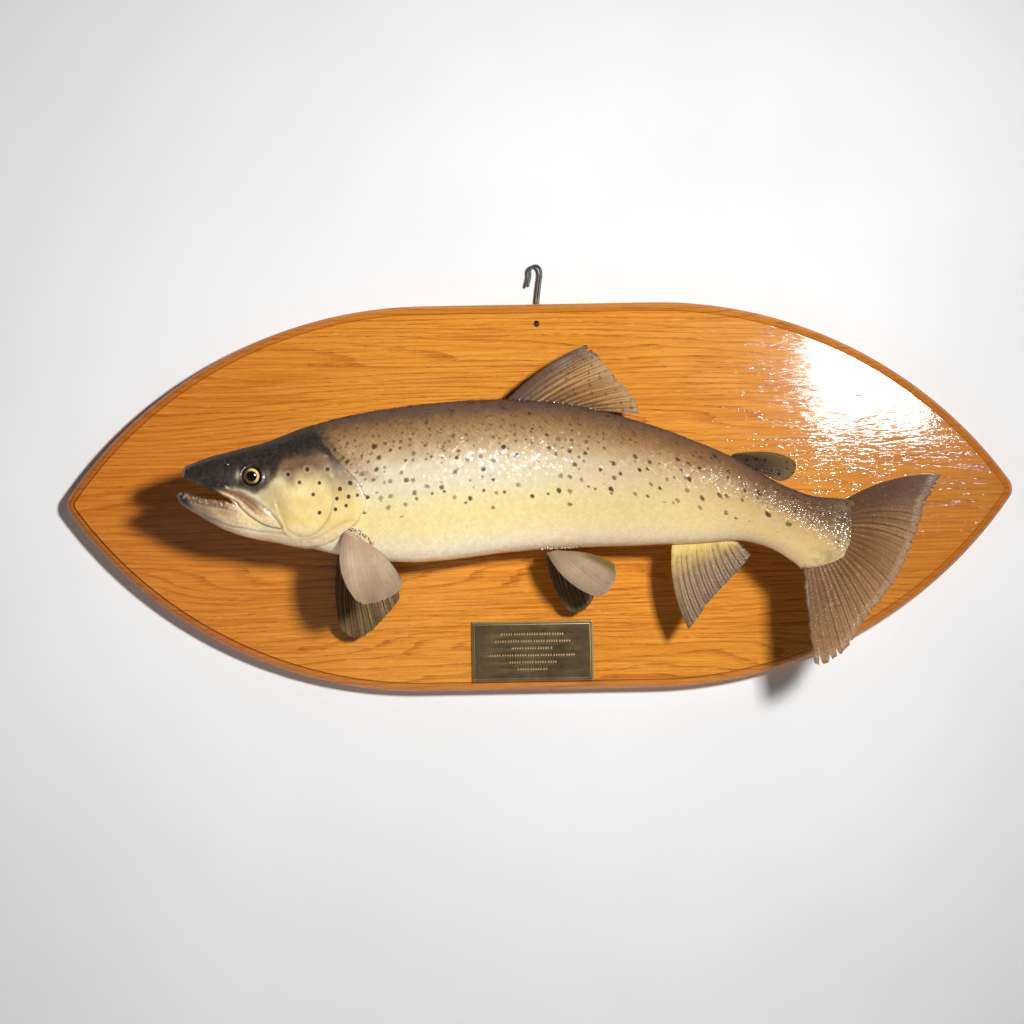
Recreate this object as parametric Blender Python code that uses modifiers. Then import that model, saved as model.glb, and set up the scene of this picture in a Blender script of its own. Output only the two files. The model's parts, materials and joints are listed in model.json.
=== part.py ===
"""A brown trout mounted on a shaped oak board, life size, as closed solids.

Lengths are in millimetres and are turned into metres where a mesh is made. The board's back lies in
the plane Y = 0, the fish faces -X and its left flank looks out along -Y. "Off the board" is the
distance of a point in front of the board's face. The body's flesh is one form, worked out by
flesh_point(), and its nodes are lengths of that form with thin cuts between them.
"""

import math

import bmesh
import bpy
from mathutils import Matrix, Vector

MM = 0.001
GAP = 0.4                      # clearance between neighbouring pieces

# Board: flat at the top and bottom middle, then arcs that meet at the two tips
BOARD_HALF_HEIGHT = 193.3
BOARD_FLAT_HALF = 115.0
BOARD_ARC_RADIUS = 437.0
BOARD_TIP_RADIUS = 15.0
BOARD_ARC_STEPS = 14
BOARD_THICKNESS = 20.0
# Routed edge, from the face of the side inwards: (inset, rise towards the front)
EDGE_STEPS = [(0.8, 0.9), (1.8, 2.6), (3.0, 2.0), (3.2, 0.8), (0.5, 2.2)]

HOLE_RADIUS = 3.3
HOLE_Z = 173.0
WIRE_RADIUS = 1.6
GROOVE = (-2.6, 5.0, 5.2)      # left side, right side and depth of the wire's groove in the back
SCREW_PLACES = [(-60.0, 26.0), (62.0, 14.0)]
SCREW_RADIUS = 4.6
SCREW_DEPTH = 3.0

PLATE_SIZE = (121.8, 1.2, 60.2)
PLATE_CENTRE = (-9.7, -154.2)

# Outline of the flesh in side view, as height against X
BACK = [(-343, 34), (-336, 36.3), (-318, 43), (-290, 50), (-262, 57.5), (-230, 70), (-190, 81),
        (-135, 90), (-77, 95.4), (-28, 96.4), (12, 93.5), (51, 86.2), (109, 68.7), (147, 53.7),
        (185, 36.5), (222, 14), (241, 4), (262, -4), (292, -8.5)]
BELLY = [(-349, 0), (-336, -8), (-308, -24.6), (-285, -33.8), (-260, -39), (-234, -44.6), (-196, -53.8),
         (-157, -60.2), (-122, -62.5), (-89, -60.6), (-30, -54.5), (28, -51.5), (97, -50.2), (155, -48.7),
         (188, -46.8), (208, -50), (228, -58.5), (248, -72.5)]
HALF_WIDTH = [(-349, 13.5), (-325, 18), (-310, 21.3), (-290, 24), (-270, 26), (-245, 29.5), (-215, 33),
              (-180, 36), (-140, 38.5), (-90, 39.5), (-30, 38.5), (30, 35.5), (90, 30.5), (145, 25),
              (185, 19.5), (215, 15), (240, 10.6), (258, 6.2), (270, 2.2)]
OFF_BOARD = [(-349, 89), (-270, 78), (-180, 61.5), (-90, 46), (-30, 37.4), (20, 35), (60, 39.5), (100, 48),
             (145, 57), (185, 66), (215, 75), (240, 84), (270, 97)]
WIDEST = [(-290, 0.66), (-262, 0.57), (-215, 0.53), (-140, 0.5), (0, 0.48), (270, 0.5)]
UPPER_POWER = [(-349, 2.3), (-262, 2.3), (-140, 2.05), (100, 1.95), (270, 2.0)]
LOWER_POWER = [(-349, 2.2), (-215, 2.1), (-100, 2.25), (100, 2.2), (270, 2.0)]
RIB_LEAN = [(90, 0), (145, 5), (182, 12), (212, 19), (235, 28), (254, 34), (270, 43)]
RIB_BULGE = [(190, 0), (215, 3), (240, 11), (258, 19), (270, 24.5)]

# Mouth and head
SNOUT_X = -343.5
CHIN_X = -348.5
MOUTH_CORNER_X = -290.0
SNOUT_Z = 28.0
CHIN_Z = 5.0
NOSE_LENGTH = 6.0
LIP = [(-343, 23.5), (-336, 21.8), (-321, 15.8), (-307, 8), (-297, 2.5), (-290, -5)]
JAW_RIM = [(-349, 9.5), (-342, 8.5), (-326, 3.2), (-307, 0.2), (-297, -2), (-290, -5)]
SEAM = [(-290, -5), (-277, -14), (-262, -23), (-246, -31), (-222, -38), (-190, -45)]
JAW_SLIM = 0.93                # width of the lower jaw's front as a share of the head's
GILL_START_X = -245.0
GILL_END_X = -195.0             # where the throat's seam meets the gill's edge
GILL_EDGE = [(0, -216), (0.17, -208), (0.3, -193), (0.45, -177), (0.6, -168), (0.7, -170.5), (0.86, -188),
             (1, -197)]        # X of the gill cover's rear edge, against the share of the height
GILL_LAP = 4.0                 # the cover's edge laps over the trunk this far
TAIL_START_X = 200.0
TAIL_END_X = 270.0

EYE = (-276.0, 24.0)
EYE_RADIUS = 9.0
EYE_SINK = 0.8
EYE_HALF_DEPTH = 3.4
SOCKET_DEPTH = 6.0

HEAD_SIDE_STEPS = 10
THROAT_SIDE_STEPS = 6
TRUNK_SIDE_STEPS = HEAD_SIDE_STEPS + THROAT_SIDE_STEPS
FIN_THICKNESS = 1.4


# ---------------------------------------------------------------- curves
def curve_through(knots):
    """Return a smooth function of one value that passes through the (place, value) knots."""
    places = [k[0] for k in knots]
    values = [k[1] for k in knots]
    last = len(knots) - 1
    slopes = []
    for i in range(last + 1):
        a, b = max(i - 1, 0), min(i + 1, last)
        slopes.append((values[b] - values[a]) / (places[b] - places[a]))

    def value(place):
        if place <= places[0]:
            return values[0]
        if place >= places[-1]:
            return values[-1]
        i = next(n for n in range(last) if place < places[n + 1])
        span = places[i + 1] - places[i]
        t = (place - places[i]) / span
        h01 = t * t * (3 - 2 * t)
        return ((1 - h01) * values[i] + h01 * values[i + 1]
                + span * t * (1 - t) * ((1 - t) * slopes[i] - t * slopes[i + 1]))

    return value


back_z = curve_through(BACK)
belly_z = curve_through(BELLY)
half_width = curve_through(HALF_WIDTH)
off_board = curve_through(OFF_BOARD)
widest = curve_through(WIDEST)
upper_power = curve_through(UPPER_POWER)
lower_power = curve_through(LOWER_POWER)
rib_lean = curve_through(RIB_LEAN)
rib_bulge = curve_through(RIB_BULGE)
lip_z = curve_through(LIP)
jaw_rim_z = curve_through(JAW_RIM)
seam_z = curve_through(SEAM)
gill_edge_x = curve_through(GILL_EDGE)


def mix(a, b, t):
    """Blend from a to b."""
    return a + (b - a) * t


def along(points, t):
    """Return the point at the share t of the length of a polyline."""
    lengths = [(Vector(b) - Vector(a)).length for a, b in zip(points, points[1:])]
    left = t * sum(lengths)
    for a, b, length in zip(points, points[1:], lengths):
        if left <= length:
            return Vector(a).lerp(Vector(b), left / length)
        left -= length
    return Vector(points[-1])


def board_y(off):
    """Return Y of a point that lies this far off the board's face."""
    return -(BOARD_THICKNESS + off)


# ---------------------------------------------------------------- the flesh
def flesh_share(x, angle):
    """Return (share of the height from the back, share of the half width) at an angle from the back."""
    c, s = abs(math.cos(angle)), abs(math.sin(angle))
    f = widest(x)
    if angle <= math.pi / 2:
        power = upper_power(x)
        return f * (1 - c ** (2 / power)), s ** (2 / power)
    power = lower_power(x)
    return f + (1 - f) * c ** (2 / power), s ** (2 / power)


def flesh_point(x, angle, side):
    """Return a point of the body at station x, for side 1 (left, towards -Y) or -1 (right)."""
    height, width = flesh_share(x, angle)
    lean = rib_lean(x) / 2
    top = Vector((x + lean, 0, back_z(x + lean)))
    low = Vector((x - lean, 0, belly_z(x - lean)))
    point = top.lerp(low, height)
    rib = (low - top).normalized()
    point += Vector((-rib.z, 0, rib.x)) * rib_bulge(x) * 4 * height * (1 - height)
    y = board_y(off_board(x)) - side * half_width(x) * width
    point.y = min(y, board_y(GAP))
    return point


def nose_round(x, tip):
    """Return the share of the full section that the rounded end of a jaw has at x."""
    u = min(max((x - tip) / NOSE_LENGTH, 0.0), 1.0)
    return math.sqrt(1 - (1 - u) ** 2)


def seam_angle(x):
    """Return the angle at which the seam between head and throat runs at station x."""
    if x <= MOUTH_CORNER_X:
        return math.pi / 2
    share = (back_z(x) - seam_z(x)) / (back_z(x) - belly_z(x))
    f = widest(x)
    return math.acos(-min(max((share - f) / (1 - f), 0.0), 1.0) ** (lower_power(x) / 2))


def gill_cut_x(angle, lap):
    """Return X of the cut that follows the gill cover's edge, at an angle from the back."""
    return gill_edge_x(flesh_share(GILL_END_X, angle)[0]) - lap


def head_point(x, angle, side):
    """Return a point of the upper head: the snout in front of the mouth's corner, the body behind it."""
    if x > MOUTH_CORNER_X:
        return flesh_point(x, angle, side)
    end = nose_round(x, SNOUT_X)
    power = upper_power(x)
    top = mix(SNOUT_Z, back_z(x), end)
    lip = mix(SNOUT_Z, lip_z(x), end)
    z = mix(lip, top, abs(math.cos(angle)) ** (2 / power))
    y = half_width(x) * end * abs(math.sin(angle)) ** (2 / power)
    return Vector((x, board_y(off_board(x)) - side * y, z))


def jaw_point(x, angle, side):
    """Return a point of the lower jaw and throat, measured from the rim (90 degrees) to the belly."""
    if x > MOUTH_CORNER_X:
        return flesh_point(x, angle, side)
    end = nose_round(x, CHIN_X)
    power = lower_power(x)
    slim = mix(1.0, JAW_SLIM, min((MOUTH_CORNER_X - x) / 20, 1))
    rim = mix(CHIN_Z, jaw_rim_z(x), end)
    low = mix(CHIN_Z, belly_z(x), end)
    z = mix(rim, low, abs(math.cos(angle)) ** (2 / power))
    y = half_width(x) * slim * end * abs(math.sin(angle)) ** (2 / power)
    return Vector((x, board_y(off_board(x)) - side * y, z))


def flank_y(x, z, side):
    """Return Y of the body's surface at (x, z) in side view, where its ribs stand upright."""
    share = (back_z(x) - z) / (back_z(x) - belly_z(x))
    f = widest(x)
    if share < f:
        power, c = upper_power(x), (f - share) / f
    else:
        power, c = lower_power(x), (share - f) / (1 - f)
    width = half_width(x) * max(1 - min(c, 1.0) ** power, 0.0) ** (1 / power)
    return board_y(off_board(x)) - side * width


# ---------------------------------------------------------------- building
def clear_scene():
    """Remove what the scene holds."""
    for obj in list(bpy.data.objects):
        bpy.data.objects.remove(obj)


def new_collection(name):
    """Add a collection to the scene."""
    collection = bpy.data.collections.new(name)
    bpy.context.scene.collection.children.link(collection)
    return collection


def paint(obj, colour, roughness, metallic=0.0):
    """Give an object its own material."""
    material = bpy.data.materials.new(obj.name + "_finish")
    material.use_nodes = True
    shader = material.node_tree.nodes["Principled BSDF"]
    shader.inputs["Base Color"].default_value = (*colour, 1.0)
    shader.inputs["Roughness"].default_value = roughness
    shader.inputs["Metallic"].default_value = metallic
    obj.data.materials.clear()
    obj.data.materials.append(material)


def add_mesh(name, bm, collection):
    """Turn a bmesh in millimetres into an object in metres."""
    bmesh.ops.scale(bm, vec=(MM, MM, MM), verts=bm.verts)
    mesh = bpy.data.meshes.new(name)
    bm.to_mesh(mesh)
    bm.free()
    mesh.shade_smooth()
    mesh.set_sharp_from_angle(angle=math.radians(35))
    obj = bpy.data.objects.new(name, mesh)
    collection.objects.link(obj)
    return obj


def face_out(bm):
    """Turn the faces outwards."""
    bmesh.ops.recalc_face_normals(bm, faces=bm.faces)


def loft_rungs(name, rungs, collection):
    """Make a closed body from rings, each a list of (left point, right point) pairs from top to bottom.

    A pair whose two points are the same is a single point on the middle line.
    """
    bm = bmesh.new()
    rings = []
    for rung in rungs:
        left = [bm.verts.new(a) for a, _ in rung]
        right = [v if (a - b).length < 1e-6 else bm.verts.new(b) for v, (a, b) in zip(left, rung)]
        rings.append((left, right))

    def face(*verts):
        unique = list(dict.fromkeys(verts))
        if len(unique) > 2:
            bm.faces.new(unique)

    for (left_a, right_a), (left_b, right_b) in zip(rings, rings[1:]):
        for i in range(len(left_a) - 1):
            face(left_a[i], left_a[i + 1], left_b[i + 1], left_b[i])
            face(right_a[i + 1], right_a[i], right_b[i], right_b[i + 1])
        face(left_a[-1], right_a[-1], right_b[-1], left_b[-1])
        face(right_a[0], left_a[0], left_b[0], right_b[0])
    for left, right in (rings[0], rings[-1]):
        for i in range(len(left) - 1):
            face(left[i], right[i], right[i + 1], left[i + 1])
    face_out(bm)
    return add_mesh(name, bm, collection)


def difference(obj, cutter):
    """Cut a cutter's shape out of an object."""
    cutter.hide_render = True
    cutter.display_type = "WIRE"
    cut = obj.modifiers.new("cut_" + cutter.name, "BOOLEAN")
    cut.operation = "DIFFERENCE"
    cut.solver = "EXACT"
    cut.object = cutter


def add_cylinder(name, radius, depth, segments, matrix, collection):
    """Add a closed cylinder along its own Z axis."""
    bm = bmesh.new()
    bmesh.ops.create_cone(bm, cap_ends=True, segments=segments, radius1=radius, radius2=radius, depth=depth,
                          matrix=matrix)
    return add_mesh(name, bm, collection)


def add_box(name, size, centre, collection):
    """Add a closed box."""
    bm = bmesh.new()
    matrix = Matrix.Translation(centre) @ Matrix.Diagonal((*size, 1))
    bmesh.ops.create_cube(bm, size=1, matrix=matrix)
    return add_mesh(name, bm, collection)


def add_sheet(name, grid, thickness, collection):
    """Make a closed plate from a grid of points on its middle surface."""
    bm = bmesh.new()
    rows = [[bm.verts.new(p) for p in row] for row in grid]
    for row_a, row_b in zip(rows, rows[1:]):
        for i in range(len(row_a) - 1):
            bm.faces.new((row_a[i], row_b[i], row_b[i + 1], row_a[i + 1]))
    face_out(bm)
    obj = add_mesh(name, bm, collection)
    solid = obj.modifiers.new("thickness", "SOLIDIFY")
    solid.thickness = thickness * MM
    solid.offset = 0.0
    solid.use_even_offset = True
    return obj


# ---------------------------------------------------------------- board and fittings
def board_outline():
    """Return the board's outline, counter-clockwise as the front shows it, as (X, Z) points."""
    centre_z = BOARD_HALF_HEIGHT - BOARD_ARC_RADIUS
    tip_centre_x = BOARD_FLAT_HALF + math.sqrt((BOARD_ARC_RADIUS - BOARD_TIP_RADIUS) ** 2 - centre_z ** 2)
    join = math.atan2(-centre_z, tip_centre_x - BOARD_FLAT_HALF)
    quarter = []
    for i in range(4):
        a = join * i / 4
        quarter.append((tip_centre_x + BOARD_TIP_RADIUS * math.cos(a), BOARD_TIP_RADIUS * math.sin(a)))
    for i in range(BOARD_ARC_STEPS + 1):
        a = mix(join, math.pi / 2, i / BOARD_ARC_STEPS)
        quarter.append((BOARD_FLAT_HALF + BOARD_ARC_RADIUS * math.cos(a),
                        centre_z + BOARD_ARC_RADIUS * math.sin(a)))
    upper = quarter + [(-x, z) for x, z in reversed(quarter)]
    return upper + [(x, -z) for x, z in reversed(upper[1:-1])]


def make_board(parts, cutters):
    """Make the oak board with its routed edge, hanging hole, wire groove and screw recesses."""
    bm = bmesh.new()
    face = bm.faces.new([bm.verts.new((x, 0, z)) for x, z in board_outline()])
    if face.normal.y > 0:
        face.normal_flip()
    side = BOARD_THICKNESS - sum(rise for _, rise in EDGE_STEPS)
    extruded = bmesh.ops.extrude_face_region(bm, geom=[face])["geom"]
    moved = [g for g in extruded if isinstance(g, bmesh.types.BMVert)]
    bmesh.ops.translate(bm, vec=(0, -side, 0), verts=moved)
    front = next(g for g in extruded if isinstance(g, bmesh.types.BMFace))
    face_out(bm)
    for inset, rise in EDGE_STEPS:
        bmesh.ops.inset_region(bm, faces=[front], thickness=inset, use_even_offset=True)
        bmesh.ops.translate(bm, vec=(0, -rise, 0), verts=front.verts)
    face_out(bm)
    board = add_mesh("board", bm, parts)

    left, right, depth = GROOVE
    lying = Matrix.Rotation(math.pi / 2, 4, "X")
    hole = Matrix.Translation((0, -BOARD_THICKNESS / 2, HOLE_Z)) @ lying
    difference(board, add_cylinder("hole_cutter", HOLE_RADIUS, BOARD_THICKNESS + 4, 20, hole, cutters))
    size = (right - left, depth + 2, BOARD_HALF_HEIGHT - HOLE_Z + 10)
    centre = ((left + right) / 2, 1 - depth / 2, HOLE_Z + size[2] / 2)
    difference(board, add_box("groove_cutter", size, centre, cutters))
    for number, (x, z) in enumerate(SCREW_PLACES):
        place = Matrix.Translation((x, 0, z)) @ lying
        name = f"screw_cutter_{number}"
        depth = 2 * (SCREW_DEPTH + GAP)
        cutter = add_cylinder(name, SCREW_RADIUS + GAP, depth, 16, place, cutters)
        difference(board, cutter)
    paint(board, (0.55, 0.24, 0.055), 0.25)


def make_screws(parts):
    """Make the heads of the two screws that hold the fish from behind."""
    for number, (x, z) in enumerate(SCREW_PLACES):
        bm = bmesh.new()
        place = Matrix.Translation((x, -SCREW_DEPTH / 2, z)) @ Matrix.Rotation(-math.pi / 2, 4, "X")
        bmesh.ops.create_cone(bm, cap_ends=True, segments=16, radius1=0.6 * SCREW_RADIUS,
                              radius2=SCREW_RADIUS, depth=SCREW_DEPTH - GAP, matrix=place)
        screw = add_mesh(f"fixing_screw_{number + 1}", bm, parts)
        paint(screw, (0.45, 0.45, 0.44), 0.4, 1.0)


def make_name_plate(parts):
    """Make the brass name plate with eased edges."""
    centre = (PLATE_CENTRE[0], board_y(GAP + PLATE_SIZE[1] / 2), PLATE_CENTRE[1])
    plate = add_box("name_plate", PLATE_SIZE, centre, parts)
    bevel = plate.modifiers.new("eased_edges", "BEVEL")
    bevel.width = 0.3 * MM
    bevel.segments = 1
    paint(plate, (0.30, 0.22, 0.08), 0.38, 1.0)


def make_hanger_hook(parts):
    """Make the bent wire that hangs the board: through the hole, up behind it, over and down."""
    bend_z = 226.0
    reach = 5.6
    y = -2.4
    route = [(0.3, -17.5, HOLE_Z), (0.3, -11, HOLE_Z), (0.3, -6.6, HOLE_Z), (0.4, -3.6, HOLE_Z + 1.3),
             (0.6, y, HOLE_Z + 5), (1.2, y, 186), (2.4, y, 200), (4.2, y, 214), (reach, y, bend_z - 3)]
    for step in range(1, 10):
        a = math.pi * step / 10
        route.append((reach * math.cos(a), y, bend_z + (reach + 1.2) * math.sin(a)))
    route += [(-reach, y, bend_z - 4), (-6.8, y, 217), (-8.2, y, 211.5)]
    curve = bpy.data.curves.new("hanger_hook", "CURVE")
    curve.dimensions = "3D"
    curve.bevel_depth = WIRE_RADIUS * MM
    curve.bevel_resolution = 2
    curve.use_fill_caps = True
    spline = curve.splines.new("POLY")
    spline.points.add(len(route) - 1)
    for point, place in zip(spline.points, route):
        point.co = (*(MM * c for c in place), 1)
    hook = bpy.data.objects.new("hanger_hook", curve)
    parts.objects.link(hook)
    paint(hook, (0.10, 0.16, 0.15), 0.45, 0.8)


# ---------------------------------------------------------------- body
def side_angles(first, last, steps):
    """Return evenly spaced angles from first to last."""
    return [mix(first, last, i / steps) for i in range(steps + 1)]


def head_stations():
    """Return (nominal station, blend towards the gill's edge) for the rings of head and throat."""
    snout = [(mix(SNOUT_X + 0.25, MOUTH_CORNER_X, (i / 11) ** 1.6), 0.0) for i in range(12)]
    cheek = [(mix(MOUTH_CORNER_X, GILL_START_X, i / 4), 0.0) for i in range(1, 5)]
    cover = [(GILL_START_X, i / 5) for i in range(1, 6)]
    return snout + cheek + cover


def station_at(x, blend, angle, lap):
    """Return the station of a ring at an angle, bent towards the gill cover's edge by its blend."""
    return mix(x, gill_cut_x(angle, lap), blend)


def make_head(parts, cutters):
    """Make the upper head, from the snout to the gill's edge and down to the throat's seam."""
    rungs = []
    for x, blend in head_stations():
        middle = mix(x, GILL_END_X, blend)
        rungs.append([])
        for angle in side_angles(0, seam_angle(middle), HEAD_SIDE_STEPS):
            place = station_at(x, blend, angle, GILL_LAP)
            rungs[-1].append(tuple(head_point(place, angle, side) for side in (1, -1)))
    head = loft_rungs("head", rungs, parts)
    for side, name in ((1, "left"), (-1, "right")):
        y = flank_y(EYE[0], EYE[1], side)
        matrix = Matrix.Translation((EYE[0], y, EYE[1])) @ Matrix.Rotation(math.pi / 2, 4, "X")
        cutter = add_cylinder("socket_cutter_" + name, EYE_RADIUS + GAP, 2 * SOCKET_DEPTH, 24, matrix,
                              cutters)
        difference(head, cutter)
    paint(head, (0.10, 0.095, 0.06), 0.4)


def make_lower_jaw(parts):
    """Make the lower jaw with the throat behind it, under the head's seam."""
    front = [(mix(CHIN_X + 0.25, MOUTH_CORNER_X, (i / 11) ** 1.6), 0.0) for i in range(12)]
    rungs = []
    for x, blend in front + [s for s in head_stations() if s[0] > MOUTH_CORNER_X]:
        middle = mix(x, GILL_END_X, blend)
        rungs.append([])
        for angle in side_angles(seam_angle(middle), math.pi, THROAT_SIDE_STEPS):
            place = station_at(x, blend, angle, GILL_LAP)
            pair = [jaw_point(place, angle, side) for side in (1, -1)]
            if x >= MOUTH_CORNER_X and angle < math.pi:
                drop = GAP * (math.pi - angle) / (math.pi - seam_angle(middle))
                pair = [p - Vector((0, 0, drop)) for p in pair]
            rungs[-1].append(tuple(pair))
    jaw = loft_rungs("lower_jaw", rungs, parts)
    paint(jaw, (0.62, 0.50, 0.30), 0.4)


def make_trunk(parts):
    """Make the trunk, from the gill's edge to behind the anal fin."""
    plain_start = -125.0
    stations = [(plain_start, 1 - i / 4) for i in range(5)]
    stations += [(mix(plain_start, TAIL_START_X, i / 16), 0.0) for i in range(1, 17)]
    rungs = []
    for x, blend in stations:
        turn = mix(math.pi * HEAD_SIDE_STEPS / TRUNK_SIDE_STEPS, seam_angle(GILL_END_X), blend)
        angles = side_angles(0, turn, HEAD_SIDE_STEPS) + side_angles(turn, math.pi, THROAT_SIDE_STEPS)[1:]
        rungs.append([])
        for angle in angles:
            place = station_at(x, blend, angle, GILL_LAP - GAP)
            rungs[-1].append(tuple(flesh_point(place, angle, side) for side in (1, -1)))
    trunk = loft_rungs("trunk", rungs, parts)
    paint(trunk, (0.48, 0.42, 0.24), 0.35)


def make_tail_stem(parts):
    """Make the tail's fleshy stem, which thins to the root of the tail fin."""
    rungs = []
    for i in range(11):
        x = mix(TAIL_START_X + GAP, TAIL_END_X, i / 10)
        angles = side_angles(0, math.pi, TRUNK_SIDE_STEPS)
        rungs.append([tuple(flesh_point(x, angle, side) for side in (1, -1)) for angle in angles])
    stem = loft_rungs("tail_stem", rungs, parts)
    paint(stem, (0.42, 0.35, 0.20), 0.35)


def make_eyes(parts):
    """Make the two domed glass eyes in their sockets."""
    for side, name in ((1, "left"), (-1, "right")):
        y = flank_y(EYE[0], EYE[1], side) + side * EYE_SINK
        turn = Matrix.Rotation(math.pi / 2, 4, "X")
        matrix = Matrix.Translation((EYE[0], y, EYE[1])) @ turn
        matrix = matrix @ Matrix.Diagonal((1, 1, EYE_HALF_DEPTH / EYE_RADIUS, 1))
        bm = bmesh.new()
        bmesh.ops.create_uvsphere(bm, u_segments=16, v_segments=8, radius=EYE_RADIUS, matrix=matrix)
        eye = add_mesh("eye_" + name, bm, parts)
        paint(eye, (0.35, 0.22, 0.05), 0.05)


def make_maxillae(parts):
    """Make the blade along each side of the upper jaw, which ends behind the eye."""
    line = curve_through([(0, 19), (0.4, 8), (0.75, -9), (1, -20.5)])
    breadth = curve_through([(0, 2.2), (0.35, 4.2), (0.75, 6.4), (0.92, 5.4), (1, 2.6)])
    start_x, end_x, thickness = -326.0, -253.0, 1.6
    for side, name in ((1, "left"), (-1, "right")):
        grid = []
        for i in range(13):
            t = i / 12
            x = mix(start_x, end_x, t)
            row = []
            for j in range(5):
                across = (j / 2 - 1) * breadth(t)
                px, pz = x + 0.55 * across, line(t) + 0.83 * across
                surface = flank_y(max(px, MOUTH_CORNER_X), max(pz, seam_z(px)), side)
                if px < MOUTH_CORNER_X:
                    surface = board_y(off_board(px)) - side * half_width(px)
                row.append((px, surface - side * (GAP + 0.3 + thickness / 2), pz))
            grid.append(row)
        blade = add_sheet("maxilla_" + name, grid, thickness, parts)
        paint(blade, (0.40, 0.30, 0.16), 0.4)


def make_gill_covers(parts):
    """Make the bony cover over each gill, lying on the head and lapping over the trunk's front."""
    front = curve_through([(-33, -234), (-15, -243), (10, -243), (35, -236), (54, -222)])
    rear = curve_through([(-33, -194), (-26, -183), (-10, -170.5), (0, -168), (9, -170), (28, -185),
                          (54, -208)])
    low_z, high_z, thickness = -33.0, 54.0, 1.6
    for side, name in ((1, "left"), (-1, "right")):
        grid = []
        for i in range(13):
            z = mix(low_z, high_z, i / 12)
            row = []
            for j in range(6):
                x = mix(front(z), rear(z), j / 5)
                row.append((x, flank_y(x, z, side) - side * (GAP + 0.25 + thickness / 2), z))
            grid.append(row)
        cover = add_sheet("gill_cover_" + name, grid, thickness, parts)
        paint(cover, (0.50, 0.42, 0.16), 0.35)


# ---------------------------------------------------------------- fins
def make_fin(name, root, rim, rays, rows, bow, parts, thickness=FIN_THICKNESS, edge_bow=(0.0, 0.0)):
    """Make a fin as a fan of rays from its root to its rim.

    root and rim are lists of (X, off board, Z); bow is how far the rays arch out towards the left
    side, and edge_bow how far the first and last rays arch away from the fin in its own plane.
    """
    root_points = [(x, board_y(off), z) for x, off, z in root]
    rim_points = [(x, board_y(off), z) for x, off, z in rim]
    grid = []
    for i in range(rays + 1):
        start, end = along(root_points, i / rays), along(rim_points, i / rays)
        outward = Vector((start - end).cross(Vector((0, 1, 0)))).normalized()
        bend = mix(edge_bow[0], edge_bow[1], i / rays)
        row = []
        for j in range(rows + 1):
            t = j / rows
            arch = 4 * t * (1 - t)
            row.append(start.lerp(end, t) + Vector((0, -bow, 0)) * arch + outward * bend * arch)
        grid.append(row)
    return add_sheet(name, grid, thickness, parts)


def make_middle_fins(parts):
    """Make the dorsal, adipose, anal and tail fins."""
    def ridge(x, lift):
        return (x, off_board(x), back_z(x) + lift)

    def keel(x, drop):
        return (x, off_board(x), belly_z(x) - drop)

    fin = make_fin("dorsal_fin", [ridge(-30, 0.8), ridge(5, 0.9), ridge(35, 0.9), ridge(63, 0.9)],
                   [(-18, 41, 107), (2, 36, 125.5), (22, 31, 140), (49, 26, 150), (60, 26, 139),
                    (70, 27, 127), (79, 28, 114), (90, 31, 103), (98, 34, 90), (99, 36, 79)],
                   16, 5, 2.0, parts)
    paint(fin, (0.25, 0.17, 0.07), 0.45)
    fin = make_fin("adipose_fin", [ridge(186, 1.8), ridge(198, 1.9), ridge(209, 1.9)],
                   [(190, 67, 38.5), (205, 67, 39.5), (222, 68, 39), (236, 69, 36), (246, 70, 30),
                    (248, 71, 22), (242, 72, 14), (233, 73, 10.5), (224, 73, 13.5)],
                   12, 4, 0.0, parts, thickness=3.0)
    paint(fin, (0.12, 0.09, 0.04), 0.4)
    fin = make_fin("anal_fin", [keel(128, 1.4), keel(160, 1.4), keel(190, 1.4)],
                   [(127, 53, -84), (129, 53, -104), (135, 53, -121), (145, 54, -133), (151, 55, -123),
                    (160, 56, -110), (174, 58, -94), (193, 61, -74), (204, 64, -60)], 14, 5, 1.0, parts)
    paint(fin, (0.45, 0.38, 0.15), 0.45)

    roots = []
    for i in range(13):
        height = mix(0.02, 0.98, i / 12)
        angle = math.acos(1 - 2 * height)
        place = flesh_point(TAIL_END_X, angle, 0)
        roots.append((place.x + 0.84 * GAP * 1.6, off_board(TAIL_END_X), place.z - 0.54 * GAP * 1.6))
    rim = [(383, 113, 14), (368, 113, -12), (356, 113, -45), (336, 112, -88), (308, 110, -122),
           (286, 109, -154), (263, 107, -167), (256, 106, -159)]
    fin = make_fin("caudal_fin", roots, rim, 24, 6, 2.0, parts, edge_bow=(-8.0, 1.0))
    paint(fin, (0.20, 0.12, 0.055), 0.45)


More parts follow.
